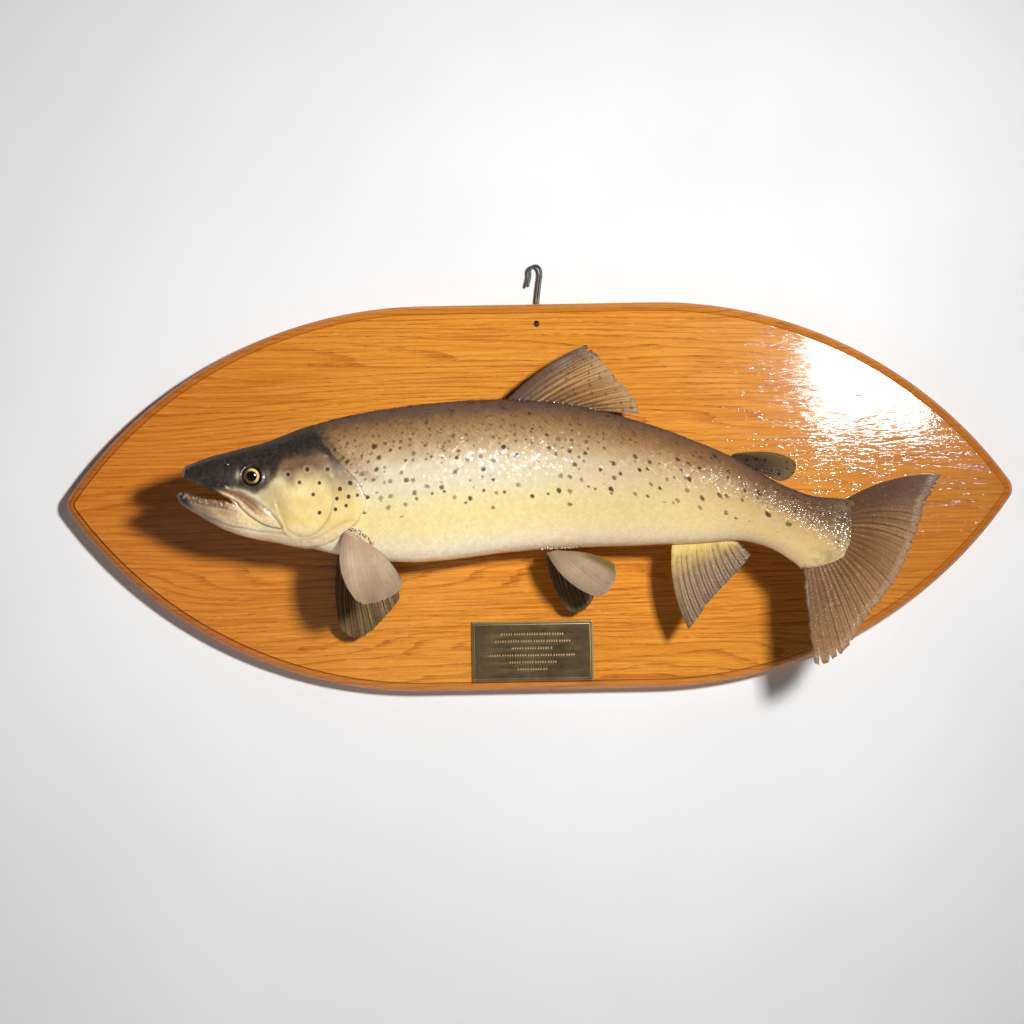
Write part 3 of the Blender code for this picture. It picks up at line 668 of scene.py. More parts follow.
class TroutPaint(NodeRecipe):
    """The markings that skin and scales share: the body's bands and spots, and the head's colours, with
    painted shade in the head's creases and painted highlights in its pale patches.
    """

    name = "trout_paint"
    takes = {"Chart": "Vector", "Place": "Vector", "Height": "Float", "Along": "Float", "Cap": "Float",
             "Dusk": "Float", "Bronze": "Float", "Cheek": "Float", "Jaw": "Float", "Crease": "Float",
             "Pale": "Float", "Spots": "Float"}
    gives = {"Color": "Color", "Relief": "Float"}

    # Bands from the back to the belly: share of the height and screen colour
    fore_bands = [(0.0, (84, 60, 52)), (0.06, (106, 77, 60)), (0.12, (150, 112, 74)),
                  (0.18, (172, 136, 92)), (0.25, (190, 156, 112)), (0.315, (210, 180, 138)),
                  (0.39, (230, 214, 182)), (0.53, (234, 221, 186)), (0.62, (240, 223, 166)),
                  (0.73, (243, 222, 152)), (0.83, (246, 226, 166)), (0.92, (252, 235, 199)),
                  (1.0, (248, 222, 184))]
    rear_bands = [(0.0, (92, 64, 48)), (0.10, (134, 94, 60)), (0.20, (166, 124, 80)),
                  (0.31, (204, 170, 124)), (0.45, (222, 188, 134)), (0.60, (236, 206, 144)),
                  (0.80, (242, 214, 148)), (0.92, (246, 220, 174)), (1.0, (234, 202, 158))]
    stem_bands = [(0.0, (84, 58, 46)), (0.20, (116, 82, 56)), (0.34, (150, 112, 74)), (0.46, (200, 164, 112)),
                  (0.60, (220, 184, 124)), (0.80, (226, 194, 136)), (1.0, (206, 170, 128))]
    # The head's colours in the order that they are laid on: where, where the fine or the broad noise
    # turns from the first colour to the second, and the colours
    regions = (("Cheek", "broad", 0.35, 0.65, (234, 200, 124), (246, 220, 150)),
               ("Jaw", "fine", 0.35, 0.7, (226, 190, 146), (246, 216, 174)),
               # Pale lays on clouded resin, pale gum specks and painted highlights
               ("Pale", "fine", 0.3, 0.7, (232, 216, 192), (216, 198, 172)),
               ("Bronze", "fine", 0.35, 0.65, (132, 84, 48), (170, 118, 72)),
               ("Dusk", "broad", 0.35, 0.65, (104, 78, 54), (134, 102, 72)))

    def spots(self, bench: NodeBench, chart: Socket, size: float, least: float, most: float, chance: Socket
              ) -> bpy.types.NodeSocket:
        """Scatter round spots over the chart.

        Args:
            bench: the tree.
            chart: the place on the unrolled skin.
            size: mean distance between spots.
            least: smallest radius.
            most: largest radius.
            chance: share of the places that hold a spot.

        Returns:
            The mask of the spots.
        """
        cells = bench.cells(chart, size, 0.86)
        parts = bench.add("SeparateColor", {0: cells.outputs["Color"]}).outputs
        there = bench.math("LESS_THAN", parts[0], chance)
        radius = bench.fade(parts[1], 0.0, 1.0, least / size, most / size)
        inside = bench.math("SUBTRACT", radius, cells.outputs["Distance"])
        depth = bench.fade(parts[2], 0.0, 1.0, 0.6, 1.0)
        return bench.times(bench.fade(inside, -0.8 / size, 0.95 / size), there, depth)

    def lay_out(self, bench: NodeBench, given: bpy.types.NodeSocket) -> dict[str, bpy.types.NodeSocket]:
        """Lay out the paint, as NodeRecipe says."""
        place, chart = given["Place"], given["Chart"]
        blotch = bench.noise(place, 16, 3, 0.6)
        fine = bench.noise(place, 3.2, 3, 0.6)
        waver = bench.math("MULTIPLY", bench.math("SUBTRACT", blotch, 0.5), 0.075)
        height = bench.math("ADD", given["Height"], waver)
        fore = bench.ramp(height, self.fore_bands)
        rear = bench.ramp(height, self.rear_bands)
        colour = bench.blend(bench.fade(given["Along"], 0.44, 0.86), fore, rear)
        stem = bench.ramp(height, self.stem_bands)
        colour = bench.blend(bench.fade(given["Along"], 0.76, 0.96), colour, stem)

        noises = {"broad": blotch, "fine": fine}
        for where, noise, low, high, first, second in self.regions:
            tone = bench.blend(bench.fade(noises[noise], low, high), srgb(*first), srgb(*second))
            colour = bench.blend(given[where], colour, tone)
        cap = bench.blend(bench.fade(fine, 0.35, 0.68), srgb(38, 33, 29), srgb(58, 50, 43))
        cap = bench.blend(bench.fade(bench.noise(place, 7, 3, 0.6), 0.55, 0.8), cap, srgb(76, 63, 50))
        colour = bench.blend(given["Cap"], colour, cap)

        hem = bench.times(bench.fade(given["Along"], 0.955, 0.985), bench.fade(blotch, 0.42, 0.66, 0.12, 0.6))
        colour = bench.blend(hem, colour, srgb(122, 106, 72))

        high = bench.fade(given["Height"], 0.20, 0.44, 1.0, 0.16)
        low = bench.fade(given["Height"], 0.50, 0.66, 1.0, 0.0)
        small = bench.times(high, low, given["Spots"], bench.fade(given["Along"], 0.45, 0.95, 0.92, 0.30))
        large = bench.times(bench.fade(given["Height"], 0.08, 0.36, 0.12, 0.62),
                            bench.fade(given["Height"], 0.60, 0.76, 1.0, 0.0), given["Spots"])
        large = bench.math("ADD", large, bench.times(bench.fade(given["Along"], 0.5, 0.8, 0.0, 0.25),
                                                     bench.fade(given["Height"], 0.45, 0.65, 1.0, 0.0)))
        warp = bench.add("TexNoise", {"Vector": place, "Scale": 1 / (3.4 * MM), "Detail": 1.0})
        warp = bench.shift(warp.outputs["Color"], (-0.5, -0.5, -0.5))
        chart = bench.shift(chart, bench.stretch(warp, (0.0022, 0.0022, 0.0)))
        freckles = self.spots(bench, chart, 7.8, 0.9, 1.75, small)
        marks = self.spots(bench, bench.shift(chart, (0.31, 0.17, 0.0)), 12.5, 1.4, 2.5, large)
        colour = bench.coats(colour, (bench.times(freckles, 0.78), (102, 58, 24)),
                             (bench.times(marks, 0.92), (64, 36, 14)))
        # Painted shade in the head's grooves, folds and pits, where the Crease mask is high
        crease_shade = bench.blend(bench.fade(fine, 0.3, 0.7), srgb(60, 38, 24), srgb(104, 70, 44))
        colour = bench.blend(given["Crease"], colour, crease_shade)
        # A brown darkening over the body, weaker on the belly; the lighter belly is painted light on the
        # underside
        body_darkening = bench.fade(given["Height"], 0.55, 0.85, 0.13, 0.065)
        colour = bench.blend(body_darkening, colour, srgb(50, 38, 24))
        return {"Color": colour, "Relief": fine}


class Grain(NodeRecipe):
    """Flat-sawn oak with its run along X: growth lines that close in long loops, and short dark pores."""

    name = "oak_grain"
    takes = {"Place": "Vector"}
    gives = {"Color": "Color", "Relief": "Float", "Pores": "Float"}

    def lay_out(self, bench: NodeBench, given: bpy.types.NodeSocket) -> dict[str, bpy.types.NodeSocket]:
        """Lay out the grain, as NodeRecipe says."""
        place = given["Place"]
        up = bench.add("SeparateXYZ", {0: place}).outputs[2]
        figure = bench.noise(bench.stretch(place, (0.13, 0.4, 1.0)), 58, 1, 0.4)
        waver = bench.noise(bench.stretch(place, (0.09, 0.4, 1.0)), 9, 2, 0.5)
        swirl = bench.fade(up, -0.06, 0.08, 17.0, 12.5)
        growth = bench.math("ADD", bench.times(figure, swirl), bench.times(waver, 1.15))
        growth = bench.math("ADD", growth, bench.times(up, 150.0))
        ring = bench.math("FRACT", growth)
        early = bench.times(bench.fade(ring, 0.58, 0.94), bench.fade(ring, 0.96, 1.0, 1.0, 0.0))
        streaks = bench.noise(bench.stretch(place, (0.022, 0.4, 1.0)), 1.7, 3, 0.6)
        pores = bench.noise(bench.stretch(place, (0.07, 0.5, 1.0)), 0.75, 2, 0.55)
        pore = bench.times(bench.fade(pores, 0.55, 0.66), bench.fade(early, 0.0, 0.8, 0.35, 1.0))
        broad = bench.noise(bench.stretch(place, (0.25, 1.0, 1.0)), 60, 2, 0.5)
        flecks = bench.fade(bench.noise(bench.stretch(place, (0.3, 0.5, 1.0)), 4.0, 1, 0.4), 0.68, 0.74)
        colour = bench.ramp(streaks, [(0.30, (233, 158, 61)), (0.5, (219, 140, 47)), (0.70, (193, 112, 34))])
        line = bench.times(early, bench.fade(streaks, 0.25, 0.6, 0.45, 1.0),
                           bench.fade(broad, 0.3, 0.6, 0.30, 0.85))
        colour = bench.coats(colour, (line, (172, 88, 24)),
                             (bench.fade(broad, 0.4, 0.75, 0.0, 0.45), (226, 152, 56)),
                             (bench.times(flecks, 0.30), (236, 172, 82)),
                             (bench.times(pore, 0.62), (122, 58, 16)))
        waves = bench.noise(bench.stretch(place, (0.12, 0.4, 1.0)), 1.9, 2, 0.6)
        relief = bench.math("SUBTRACT", waves, bench.times(pore, 0.12))
        return {"Color": colour, "Relief": relief, "Pores": pore}


class Wear(NodeRecipe):
    """Dust, smears, fine scratches and specks on a handled surface; the fins use the specks as painted
    glints.
    """

    name = "wear"
    takes = {"Place": "Vector"}
    gives = {"Patches": "Float", "Scratches": "Float", "Specks": "Float"}

    def lay_out(self, bench: NodeBench, given: bpy.types.NodeSocket) -> dict[str, bpy.types.NodeSocket]:
        """Lay out the wear, as NodeRecipe says."""
        place = given["Place"]
        patches = bench.fade(bench.noise(place, 14, 4, 0.62), 0.38, 0.66)
        lines = bench.noise(bench.stretch(place, (0.05, 1.0, 1.0)), 0.5, 1, 0.5, 0.4)
        specks = bench.fade(bench.noise(place, 1.1, 2, 0.5), 0.66, 0.74)
        return {"Patches": patches, "Scratches": bench.fade(lines, 0.62, 0.75), "Specks": specks}


@dataclass(frozen=True)
class Finish:
    """What a piece is finished in."""

    name: str

    def paint(self, bench: NodeBench, shader: bpy.types.Node) -> None:
        """Lay out the finish's nodes round its shader."""
        raise NotImplementedError

    def material(self) -> bpy.types.Material:
        """Return the finish's material, made at its first use."""
        found = bpy.data.materials.get(self.name)
        if found:
            return found
        made = bpy.data.materials.new(self.name)
        made.use_nodes = True
        self.paint(NodeBench(made.node_tree), made.node_tree.nodes["Principled BSDF"])
        return made


def set_shader(bench: NodeBench, shader: bpy.types.Node, **values: Socket) -> None:
    """Feed a shader's sockets, named with _ for spaces."""
    for key, value in values.items():
        bench.feed(shader.inputs[key.replace("_", " ")], value)


@dataclass(frozen=True)
class VarnishedOak(Finish):
    """Oak under a glossy varnish, with painted shade in the moulding's groove and towards the right end,
    darker over the routed band and redder towards the left end.
    """

    name: str = "varnished_oak"

    def paint(self, bench: NodeBench, shader: bpy.types.Node) -> None:
        """Lay out the finish's nodes round its shader."""
        place = bench.place()
        grain = Grain().use(bench, Place=place)
        wear = Wear().use(bench, Place=place)
        along = bench.add("SeparateXYZ", {0: place}).outputs[0]
        # Painted shade in the moulding's groove, and darker over the routed band
        colour = bench.coats(grain["Color"], (bench.times(bench.stored("crease"), 0.70), (84, 36, 10)),
                             (bench.times(bench.stored("moulding"), 0.30), (168, 80, 18)),
                             # Painted shade towards the right end; redder towards the left end
                             (bench.fade(along, 0.12, 0.46, 0.0, 0.5), (146, 84, 30)),
                             (bench.fade(along, -0.44, -0.08, 0.42, 0.0), (176, 84, 24)))
        rough = bench.math("ADD", bench.times(wear["Patches"], 0.02), 0.035)
        set_shader(bench, shader, Base_Color=colour, Roughness=rough,
                   Normal=bench.bump(grain["Relief"], 0.15, 1.0), Coat_Weight=0.06, Coat_Roughness=0.28)


@dataclass(frozen=True)
class AgedBrass(Finish):
    """Brass plate gone brown, brighter where it is rubbed."""

    name: str = "aged_brass"

    def paint(self, bench: NodeBench, shader: bpy.types.Node) -> None:
        """Lay out the finish's nodes round its shader."""
        place = bench.place()
        wear = Wear().use(bench, Place=place)
        tone = bench.noise(place, 22, 4, 0.6)
        colour = bench.ramp(tone, [(0.30, (70, 56, 34)), (0.5, (82, 66, 40)), (0.68, (98, 78, 48))])
        colour = bench.coats(colour, (bench.times(wear["Patches"], 0.35), (62, 49, 33)),
                             (bench.times(wear["Scratches"], 0.25), (134, 110, 72)),
                             (bench.times(bench.stored("edge"), 0.6), (166, 136, 86)),
                             (bench.times(bench.stored("crease"), 0.8), (166, 138, 90)),
                             (bench.times(wear["Specks"], 0.55), (152, 134, 98)))
        rough = bench.math("ADD", bench.times(wear["Patches"], 0.16), 0.36)
        set_shader(bench, shader, Base_Color=colour, Roughness=rough, Metallic=0.65,
                   Normal=bench.bump(bench.noise(place, 0.9, 3, 0.6), 0.05, 0.4))


@dataclass(frozen=True)
class DarkWire(Finish):
    """Green-black enamelled wire, worn to grey in places."""

    name: str = "dark_wire"

    def paint(self, bench: NodeBench, shader: bpy.types.Node) -> None:
        """Lay out the finish's nodes round its shader."""
        place = bench.place()
        worn = bench.fade(bench.noise(place, 5, 4, 0.65), 0.56, 0.66)
        colour = bench.blend(worn, srgb(40, 62, 58), srgb(128, 122, 110))
        set_shader(bench, shader, Base_Color=colour, Roughness=bench.fade(worn, 0, 1, 0.36, 0.5),
                   Metallic=bench.fade(worn, 0, 1, 0.15, 0.85),
                   Normal=bench.bump(bench.noise(place, 1.2, 3, 0.6), 0.06, 0.5))


@dataclass(frozen=True)
class DullSteel(Finish):
    """Zinc-grey steel with turning marks."""

    name: str = "dull_steel"

    def paint(self, bench: NodeBench, shader: bpy.types.Node) -> None:
        """Lay out the finish's nodes round its shader."""
        place = bench.place()
        tone = bench.noise(place, 3, 4, 0.65)
        colour = bench.ramp(tone, [(0.3, (112, 110, 104)), (0.6, (158, 156, 150)), (0.75, (120, 96, 72))])
        set_shader(bench, shader, Base_Color=colour, Roughness=bench.fade(tone, 0.3, 0.7, 0.34, 0.55),
                   Metallic=1.0, Normal=bench.bump(bench.noise(place, 0.6, 2, 0.5), 0.04, 0.5))


class Hide(Enum):
    """The two surfaces that carry the fish's markings."""

    SKIN = "skin"
    SCALES = "scales"


@dataclass(frozen=True)
class TroutHide(Finish):
    """The painted and varnished fish, as bare skin or as scales."""

    name: str = "trout_hide"
    kind: Hide = Hide.SKIN
    coat: float = 0.42
    coat_roughness: float = 0.08

    def paint(self, bench: NodeBench, shader: bpy.types.Node) -> None:
        """Lay out the finish's nodes round its shader."""
        place = bench.place()
        chart = bench.add("UVMap", uv_map="Chart").outputs[0]
        stored = {key: bench.stored(key.lower()) for key in
                  ("Height", "Along", "Cap", "Dusk", "Bronze", "Cheek", "Jaw", "Crease", "Pale", "Spots")}
        paint = TroutPaint().use(bench, Chart=chart, Place=place, **stored)
        colour = paint["Color"]
        if self.kind is Hide.SCALES:
            rim = bench.times(bench.stored("rim"), bench.fade(stored["Height"], 0.15, 0.45, 0.38, 0.10))
            colour = bench.blend(rim, colour, srgb(92, 68, 50))
            tone = bench.fade(bench.stored("tone"), 0.0, 1.0, 0.95, 1.03)
            grey = bench.add("CombineColor", {0: tone, 1: tone, 2: tone}).outputs[0]
            colour = bench.blend(1.0, colour, grey, "MULTIPLY")
            relief = bench.times(bench.noise(bench.stretch(place, (0.5, 1, 1)), 0.8, 2, 0.5),
                                 bench.fade(stored["Along"], 0.40, 0.66, 1.0, 2.5),
                                 bench.fade(stored["Height"], 0.42, 0.62, 1.0, 0.3))
            normal = bench.bump(relief, 0.09, 0.7)
            gloss = (0.15, 0.27)
        else:
            fleck = bench.stored("fleck")
            colour = bench.blend(bench.times(bench.stored("ring"), 0.25), colour, srgb(214, 186, 122))
            colour = bench.blend(bench.fade(fleck, 0.34, 0.66, 0.0, 0.93), colour, srgb(46, 34, 22))
            mouth = bench.blend(bench.fade(paint["Relief"], 0.35, 0.65), srgb(96, 62, 46), srgb(142, 98, 72))
            colour = bench.blend(bench.stored("mouth"), colour, mouth)
            relief = bench.math("ADD", bench.times(paint["Relief"], 0.7), bench.noise(place, 1.2, 2, 0.5))
            normal = bench.bump(relief, 0.22, 0.5)
            gloss = (0.26, 0.40)
        rough = bench.fade(bench.noise(place, 9, 3, 0.6), 0.35, 0.65, *gloss)
        rough = bench.math("MAXIMUM", rough, bench.fade(stored["Height"], 0.03, 0.18, 0.55, 0.0))
        coat = bench.fade(stored["Height"], 0.02, 0.18, 0.04, self.coat)
        set_shader(bench, shader, Base_Color=colour, Roughness=rough, Normal=normal, Coat_Weight=coat,
                   Coat_Roughness=self.coat_roughness, Specular_IOR_Level=0.36)


@dataclass(frozen=True)
class FinMembrane(Finish):
    """A dried and painted fin: rays over a thin membrane, with spots, a worn rim with painted glints, painted
    glints along the rays and painted shade in its folds and along its trailing edge.
    """

    name: str = "fin_membrane"
    root: Colour = (140, 100, 66)
    middle: Colour = (150, 108, 70)
    rim: Colour = (120, 84, 54)
    ray: Colour = (196, 156, 108)
    spot: float = 0.0
    ray_strength: float = 0.6
    groove: float = 0.5
    lead: float = 0.0
    frost_and_glint: float = 0.0
    glint: float = 0.3
    strip: Colour = (0, 0, 0)
    specular: float = 0.1
    coat: float = 0.08

    def paint(self, bench: NodeBench, shader: bpy.types.Node) -> None:
        """Lay out the finish's nodes round its shader."""
        place = bench.place()
        reach, ray, span = bench.stored("reach"), bench.stored("ray"), bench.stored("span")
        blotch = bench.noise(place, 9, 4, 0.65)
        waver = bench.math("MULTIPLY", bench.math("SUBTRACT", blotch, 0.5), 0.3)
        colour = bench.ramp(bench.math("ADD", reach, waver),
                            [(0.06, self.root), (0.42, self.middle), (0.95, self.rim)])
        dark = tuple(c * 0.6 for c in self.rim)
        joints = bench.noise(place, 1.1, 2, 0.6)
        light = bench.times(ray, bench.fade(joints, 0.3, 0.6, 0.45, 1.0), self.ray_strength)
        colour = bench.coats(colour, (bench.fade(blotch, 0.5, 0.75, 0.0, 0.26), dark), (light, self.ray),
                             # Painted shade where the membrane folds in between the rays
                             (bench.times(bench.stored("groove"), self.groove), dark),
                             (bench.fade(span, 0.02, 0.34, self.lead, 0.0), (78, 52, 42)),
                             # Painted shade along the trailing edge
                             (bench.fade(span, 0.965, 0.99, 0.0, 0.75), dark))
        chart = bench.add("UVMap", uv_map="Chart").outputs[0]
        dots = bench.cells(chart, 7.5, 0.9)
        parts = bench.add("SeparateColor", {0: dots.outputs["Color"]}).outputs
        inside = bench.math("SUBTRACT", bench.fade(parts[1], 0, 1, 0.12, 0.24), dots.outputs["Distance"])
        there = bench.math("LESS_THAN", parts[0], 0.62)
        mask = bench.times(bench.fade(inside, -0.09, 0.07), there, self.spot)
        specks = Wear().use(bench, Place=place)["Specks"]
        # A whitened rim: worn membrane, with painted glints
        near_rim = bench.times(bench.fade(reach, 0.86, 0.93), bench.fade(reach, 0.96, 0.985, 1.0, 0.0),
                               bench.fade(blotch, 0.35, 0.6, 0.35, 1.0))
        frost_and_glint = bench.times(near_rim, bench.fade(joints, 0.42, 0.60, 0.15, 1.0), self.frost_and_glint)
        # Painted glints: specks and sparkle along the rays
        sparkle = bench.times(bench.fade(joints, 0.58, 0.68), bench.fade(span, 0.5, 0.95, 0.12, 0.8))
        glint = bench.times(bench.math("MAXIMUM", specks, sparkle), bench.fade(ray, 0.0, 1.0, 0.35, 1.0),
                            self.glint)
        colour = bench.coats(colour, (mask, tuple(c * 0.5 for c in self.middle)),
                             (frost_and_glint, (178, 158, 134)), (glint, (240, 230, 208)))
        if any(self.strip):
            strip = bench.times(bench.fade(span, 0.76, 0.90), bench.fade(reach, 0.12, 0.4))
            colour = bench.blend(strip, colour, srgb(*self.strip))
        rough = bench.fade(blotch, 0.3, 0.7, 0.46, 0.60)
        relief = bench.math("ADD", bench.times(joints, 0.6), bench.times(blotch, 0.5))
        set_shader(bench, shader, Base_Color=colour, Roughness=rough, Coat_Weight=self.coat,
                   Coat_Roughness=0.18, Normal=bench.bump(relief, 0.22, 0.7),
                   Specular_IOR_Level=self.specular)


@dataclass(frozen=True)
class GlassIris(Finish):
    """A taxidermist's glass eye: black pupil, gold ring and a mottled brown iris under clear glass, with gold
    painted light on the iris's side towards the lamp.
    """

    name: str = "glass_iris"

    def paint(self, bench: NodeBench, shader: bpy.types.Node) -> None:
        """Lay out the finish's nodes round its shader."""
        place = bench.place()
        radius = bench.stored("radius")
        streak = bench.noise(place, 1.3, 4, 0.65)
        radius = bench.math("ADD", radius, bench.math("MULTIPLY", bench.math("SUBTRACT", streak, 0.5), 0.05))
        colour = bench.ramp(radius, [(0.0, (6, 5, 5)), (0.46, (10, 7, 6)), (0.53, (44, 28, 17)),
                                     (0.60, (98, 68, 36)), (0.74, (112, 80, 44)), (0.81, (58, 40, 25)),
                                     (0.88, (40, 28, 19)), (0.99, (16, 13, 12))])
        glow = bench.stored("glow")
        # Gold painted light on the side of the iris towards the lamp
        gold = bench.times(bench.fade(glow, 0.25, 0.9), bench.fade(radius, 0.52, 0.60),
                           bench.fade(radius, 0.78, 0.86, 1.0, 0.0), bench.fade(streak, 0.3, 0.6, 0.6, 1.0))
        colour = bench.blend(gold, colour, srgb(226, 194, 128))
        set_shader(bench, shader, Base_Color=colour, Roughness=0.3, Coat_Weight=1.0, Coat_Roughness=0.02,
                   Specular_IOR_Level=0.0)


@dataclass(frozen=True)
class ToothBone(Finish):
    """Small teeth, ivory at the point and stained at the root."""

    name: str = "tooth_bone"

    def paint(self, bench: NodeBench, shader: bpy.types.Node) -> None:
        """Lay out the finish's nodes round its shader."""
        tone = bench.noise(bench.place(), 2, 3, 0.6)
        colour = bench.ramp(tone, [(0.3, (206, 176, 132)), (0.55, (232, 212, 174)), (0.75, (176, 136, 92))])
        set_shader(bench, shader, Base_Color=colour, Roughness=bench.fade(tone, 0.3, 0.7, 0.28, 0.45),
                   Coat_Weight=0.3, Coat_Roughness=0.2,
                   Normal=bench.bump(tone, 0.08, 0.4))


# ---------------------------------------------------------------- board and fittings
@dataclass(frozen=True)
class OakBoard:
    """The shaped board: flat at top and bottom, with arcs that meet at two tips and a routed edge."""

    half_height: float = 193.3
    flat_half: float = 115.0
    arc_radius: float = 437.0
    tip_radius: float = 15.0
    arc_steps: int = 56
    hole_radius: float = 3.3
    # The wire's groove down the back: its left and right sides in X, and its depth
    groove: Place = (-2.6, 5.0, 5.2)
    screw_hole: tuple[float, float] = (5.0, 3.4)
    # The moulding, from the side's face inwards: inset, height above the side, painted shade in the groove
    moulding: tuple[Place, ...] = (
        (0.25, 0.25, 0.0), (0.8, 0.95, 0.0), (1.5, 2.0, 0.0), (2.6, 3.5, 0.0), (4.0, 4.7, 0.0),
        (5.6, 5.55, 0.0), (7.2, 6.05, 0.1), (8.4, 6.25, 0.55), (8.8, 6.3, 1.0), (8.95, 6.7, 1.0),
        (9.05, 7.7, 0.6), (9.25, 8.2, 0.15), (9.7, 8.45, 0.0), (10.4, 8.5, 0.0))
    moulding_end: float = 8.9
    crease: float = 24.0

    def outline(self) -> list[tuple[float, float]]:
        """Return the outline as (X, Z) points, counter-clockwise from the right tip."""
        centre_z = self.half_height - self.arc_radius
        tip_x = self.flat_half + math.sqrt((self.arc_radius - self.tip_radius) ** 2 - centre_z ** 2)
        join = math.atan2(-centre_z, tip_x - self.flat_half)
        turns = [join * i / 7 for i in range(7)]
        quarter = [(tip_x + self.tip_radius * math.cos(a), self.tip_radius * math.sin(a)) for a in turns]
        for i in range(self.arc_steps + 1):
            a = mix(join, math.pi / 2, i / self.arc_steps)
            quarter.append((self.flat_half + self.arc_radius * math.cos(a),
                            centre_z + self.arc_radius * math.sin(a)))
        upper = quarter + [(-x, z) for x, z in reversed(quarter)]
        return upper + [(x, -z) for x, z in reversed(upper[1:-1])]

    def blank(self) -> bmesh.types.BMesh:
        """Return the board with its moulding, before it is drilled."""
        outline = self.outline()
        bm = bmesh.new()
        crease = bm.verts.layers.float.new("crease")
        band = bm.verts.layers.float.new("moulding")
        bmesh.ops.create_circle(bm, cap_ends=True, segments=len(outline), radius=1.0)
        bm.verts.ensure_lookup_table()
        for vert, (x, z) in zip(bm.verts, outline):
            vert.co = (x, 0.0, z)
            vert[band] = 1.0
        front = next(iter(bm.faces))
        front.normal_update()
        if front.normal.y > 0:
            front.normal_flip()
        side = BOARD_THICKNESS - self.moulding[-1][1]
        made = bmesh.ops.extrude_face_region(bm, geom=[front])["geom"]
        verts = [g for g in made if isinstance(g, bmesh.types.BMVert)]
        bmesh.ops.translate(bm, vec=(0, -side, 0), verts=verts)
        front = next(g for g in made if isinstance(g, bmesh.types.BMFace))
        bmesh.ops.recalc_face_normals(bm, faces=bm.faces)
        inset, rise = 0.0, 0.0
        for far, high, groove_shade in self.moulding:
            bmesh.ops.inset_region(bm, faces=[front], thickness=far - inset, use_even_offset=True)
            bmesh.ops.translate(bm, vec=(0, rise - high, 0), verts=front.verts)
            for vert in front.verts:
                vert[crease] = groove_shade
                vert[band] = 1.0 if far < self.moulding_end else 0.0
            inset, rise = far, high
        bmesh.ops.recalc_face_normals(bm, faces=bm.faces)
        return bm

    def cutters(self) -> list[bpy.types.Object]:
        """Return the shapes to cut out: the hanging hole, the wire's groove and the screws' recesses."""
        lying = Matrix.Rotation(math.pi / 2, 4, "X")
        made = []

        def drill(name: str, x: float, z: float, radius: float, depth: float) -> None:
            """Add a round cutter."""
            bm = bmesh.new()
            matrix = Matrix.Translation((x, 0, z)) @ lying
            bmesh.ops.create_cone(bm, cap_ends=True, segments=40, radius1=radius, radius2=radius,
                                  depth=depth, matrix=matrix)
            made.append(finish_mesh(name, bm))

        drill("cut_hole", 0.0, HOLE_Z, self.hole_radius, 3 * BOARD_THICKNESS)
        for number, (x, z) in enumerate(SCREW_PLACES):
            drill(f"cut_screw_{number}", x, z, self.screw_hole[0], 2 * self.screw_hole[1])
        left, right, depth = self.groove
        bm = bmesh.new()
        size = (right - left, depth + 2, self.half_height - HOLE_Z + 10)
        centre = ((left + right) / 2, 1 - depth / 2, HOLE_Z + size[2] / 2)
        bmesh.ops.create_cube(bm, size=1, matrix=Matrix.Translation(centre) @ Matrix.Diagonal((*size, 1)))
        made.append(finish_mesh("cut_groove", bm))
        return made

    def build(self) -> bpy.types.Object:
        """Build and dress the board.

        Returns:
            The board.
        """
        board = finish_mesh("oak_board", self.blank(), self.crease)
        cutters = self.cutters()
        for cutter in cutters:
            cut = board.modifiers.new(cutter.name, "BOOLEAN")
            cut.operation = "DIFFERENCE"
            cut.solver = "EXACT"
            cut.object = cutter
        depsgraph = bpy.context.evaluated_depsgraph_get()
        mesh = bpy.data.meshes.new_from_object(board.evaluated_get(depsgraph))
        board.modifiers.clear()
        board.data = mesh
        mesh.name = "oak_board"
        for cutter in cutters:
            bpy.data.objects.remove(cutter)
        mesh.shade_smooth()
        mesh.set_sharp_from_angle(angle=math.radians(self.crease))
        return dress(board, VarnishedOak(), "oak", "board")


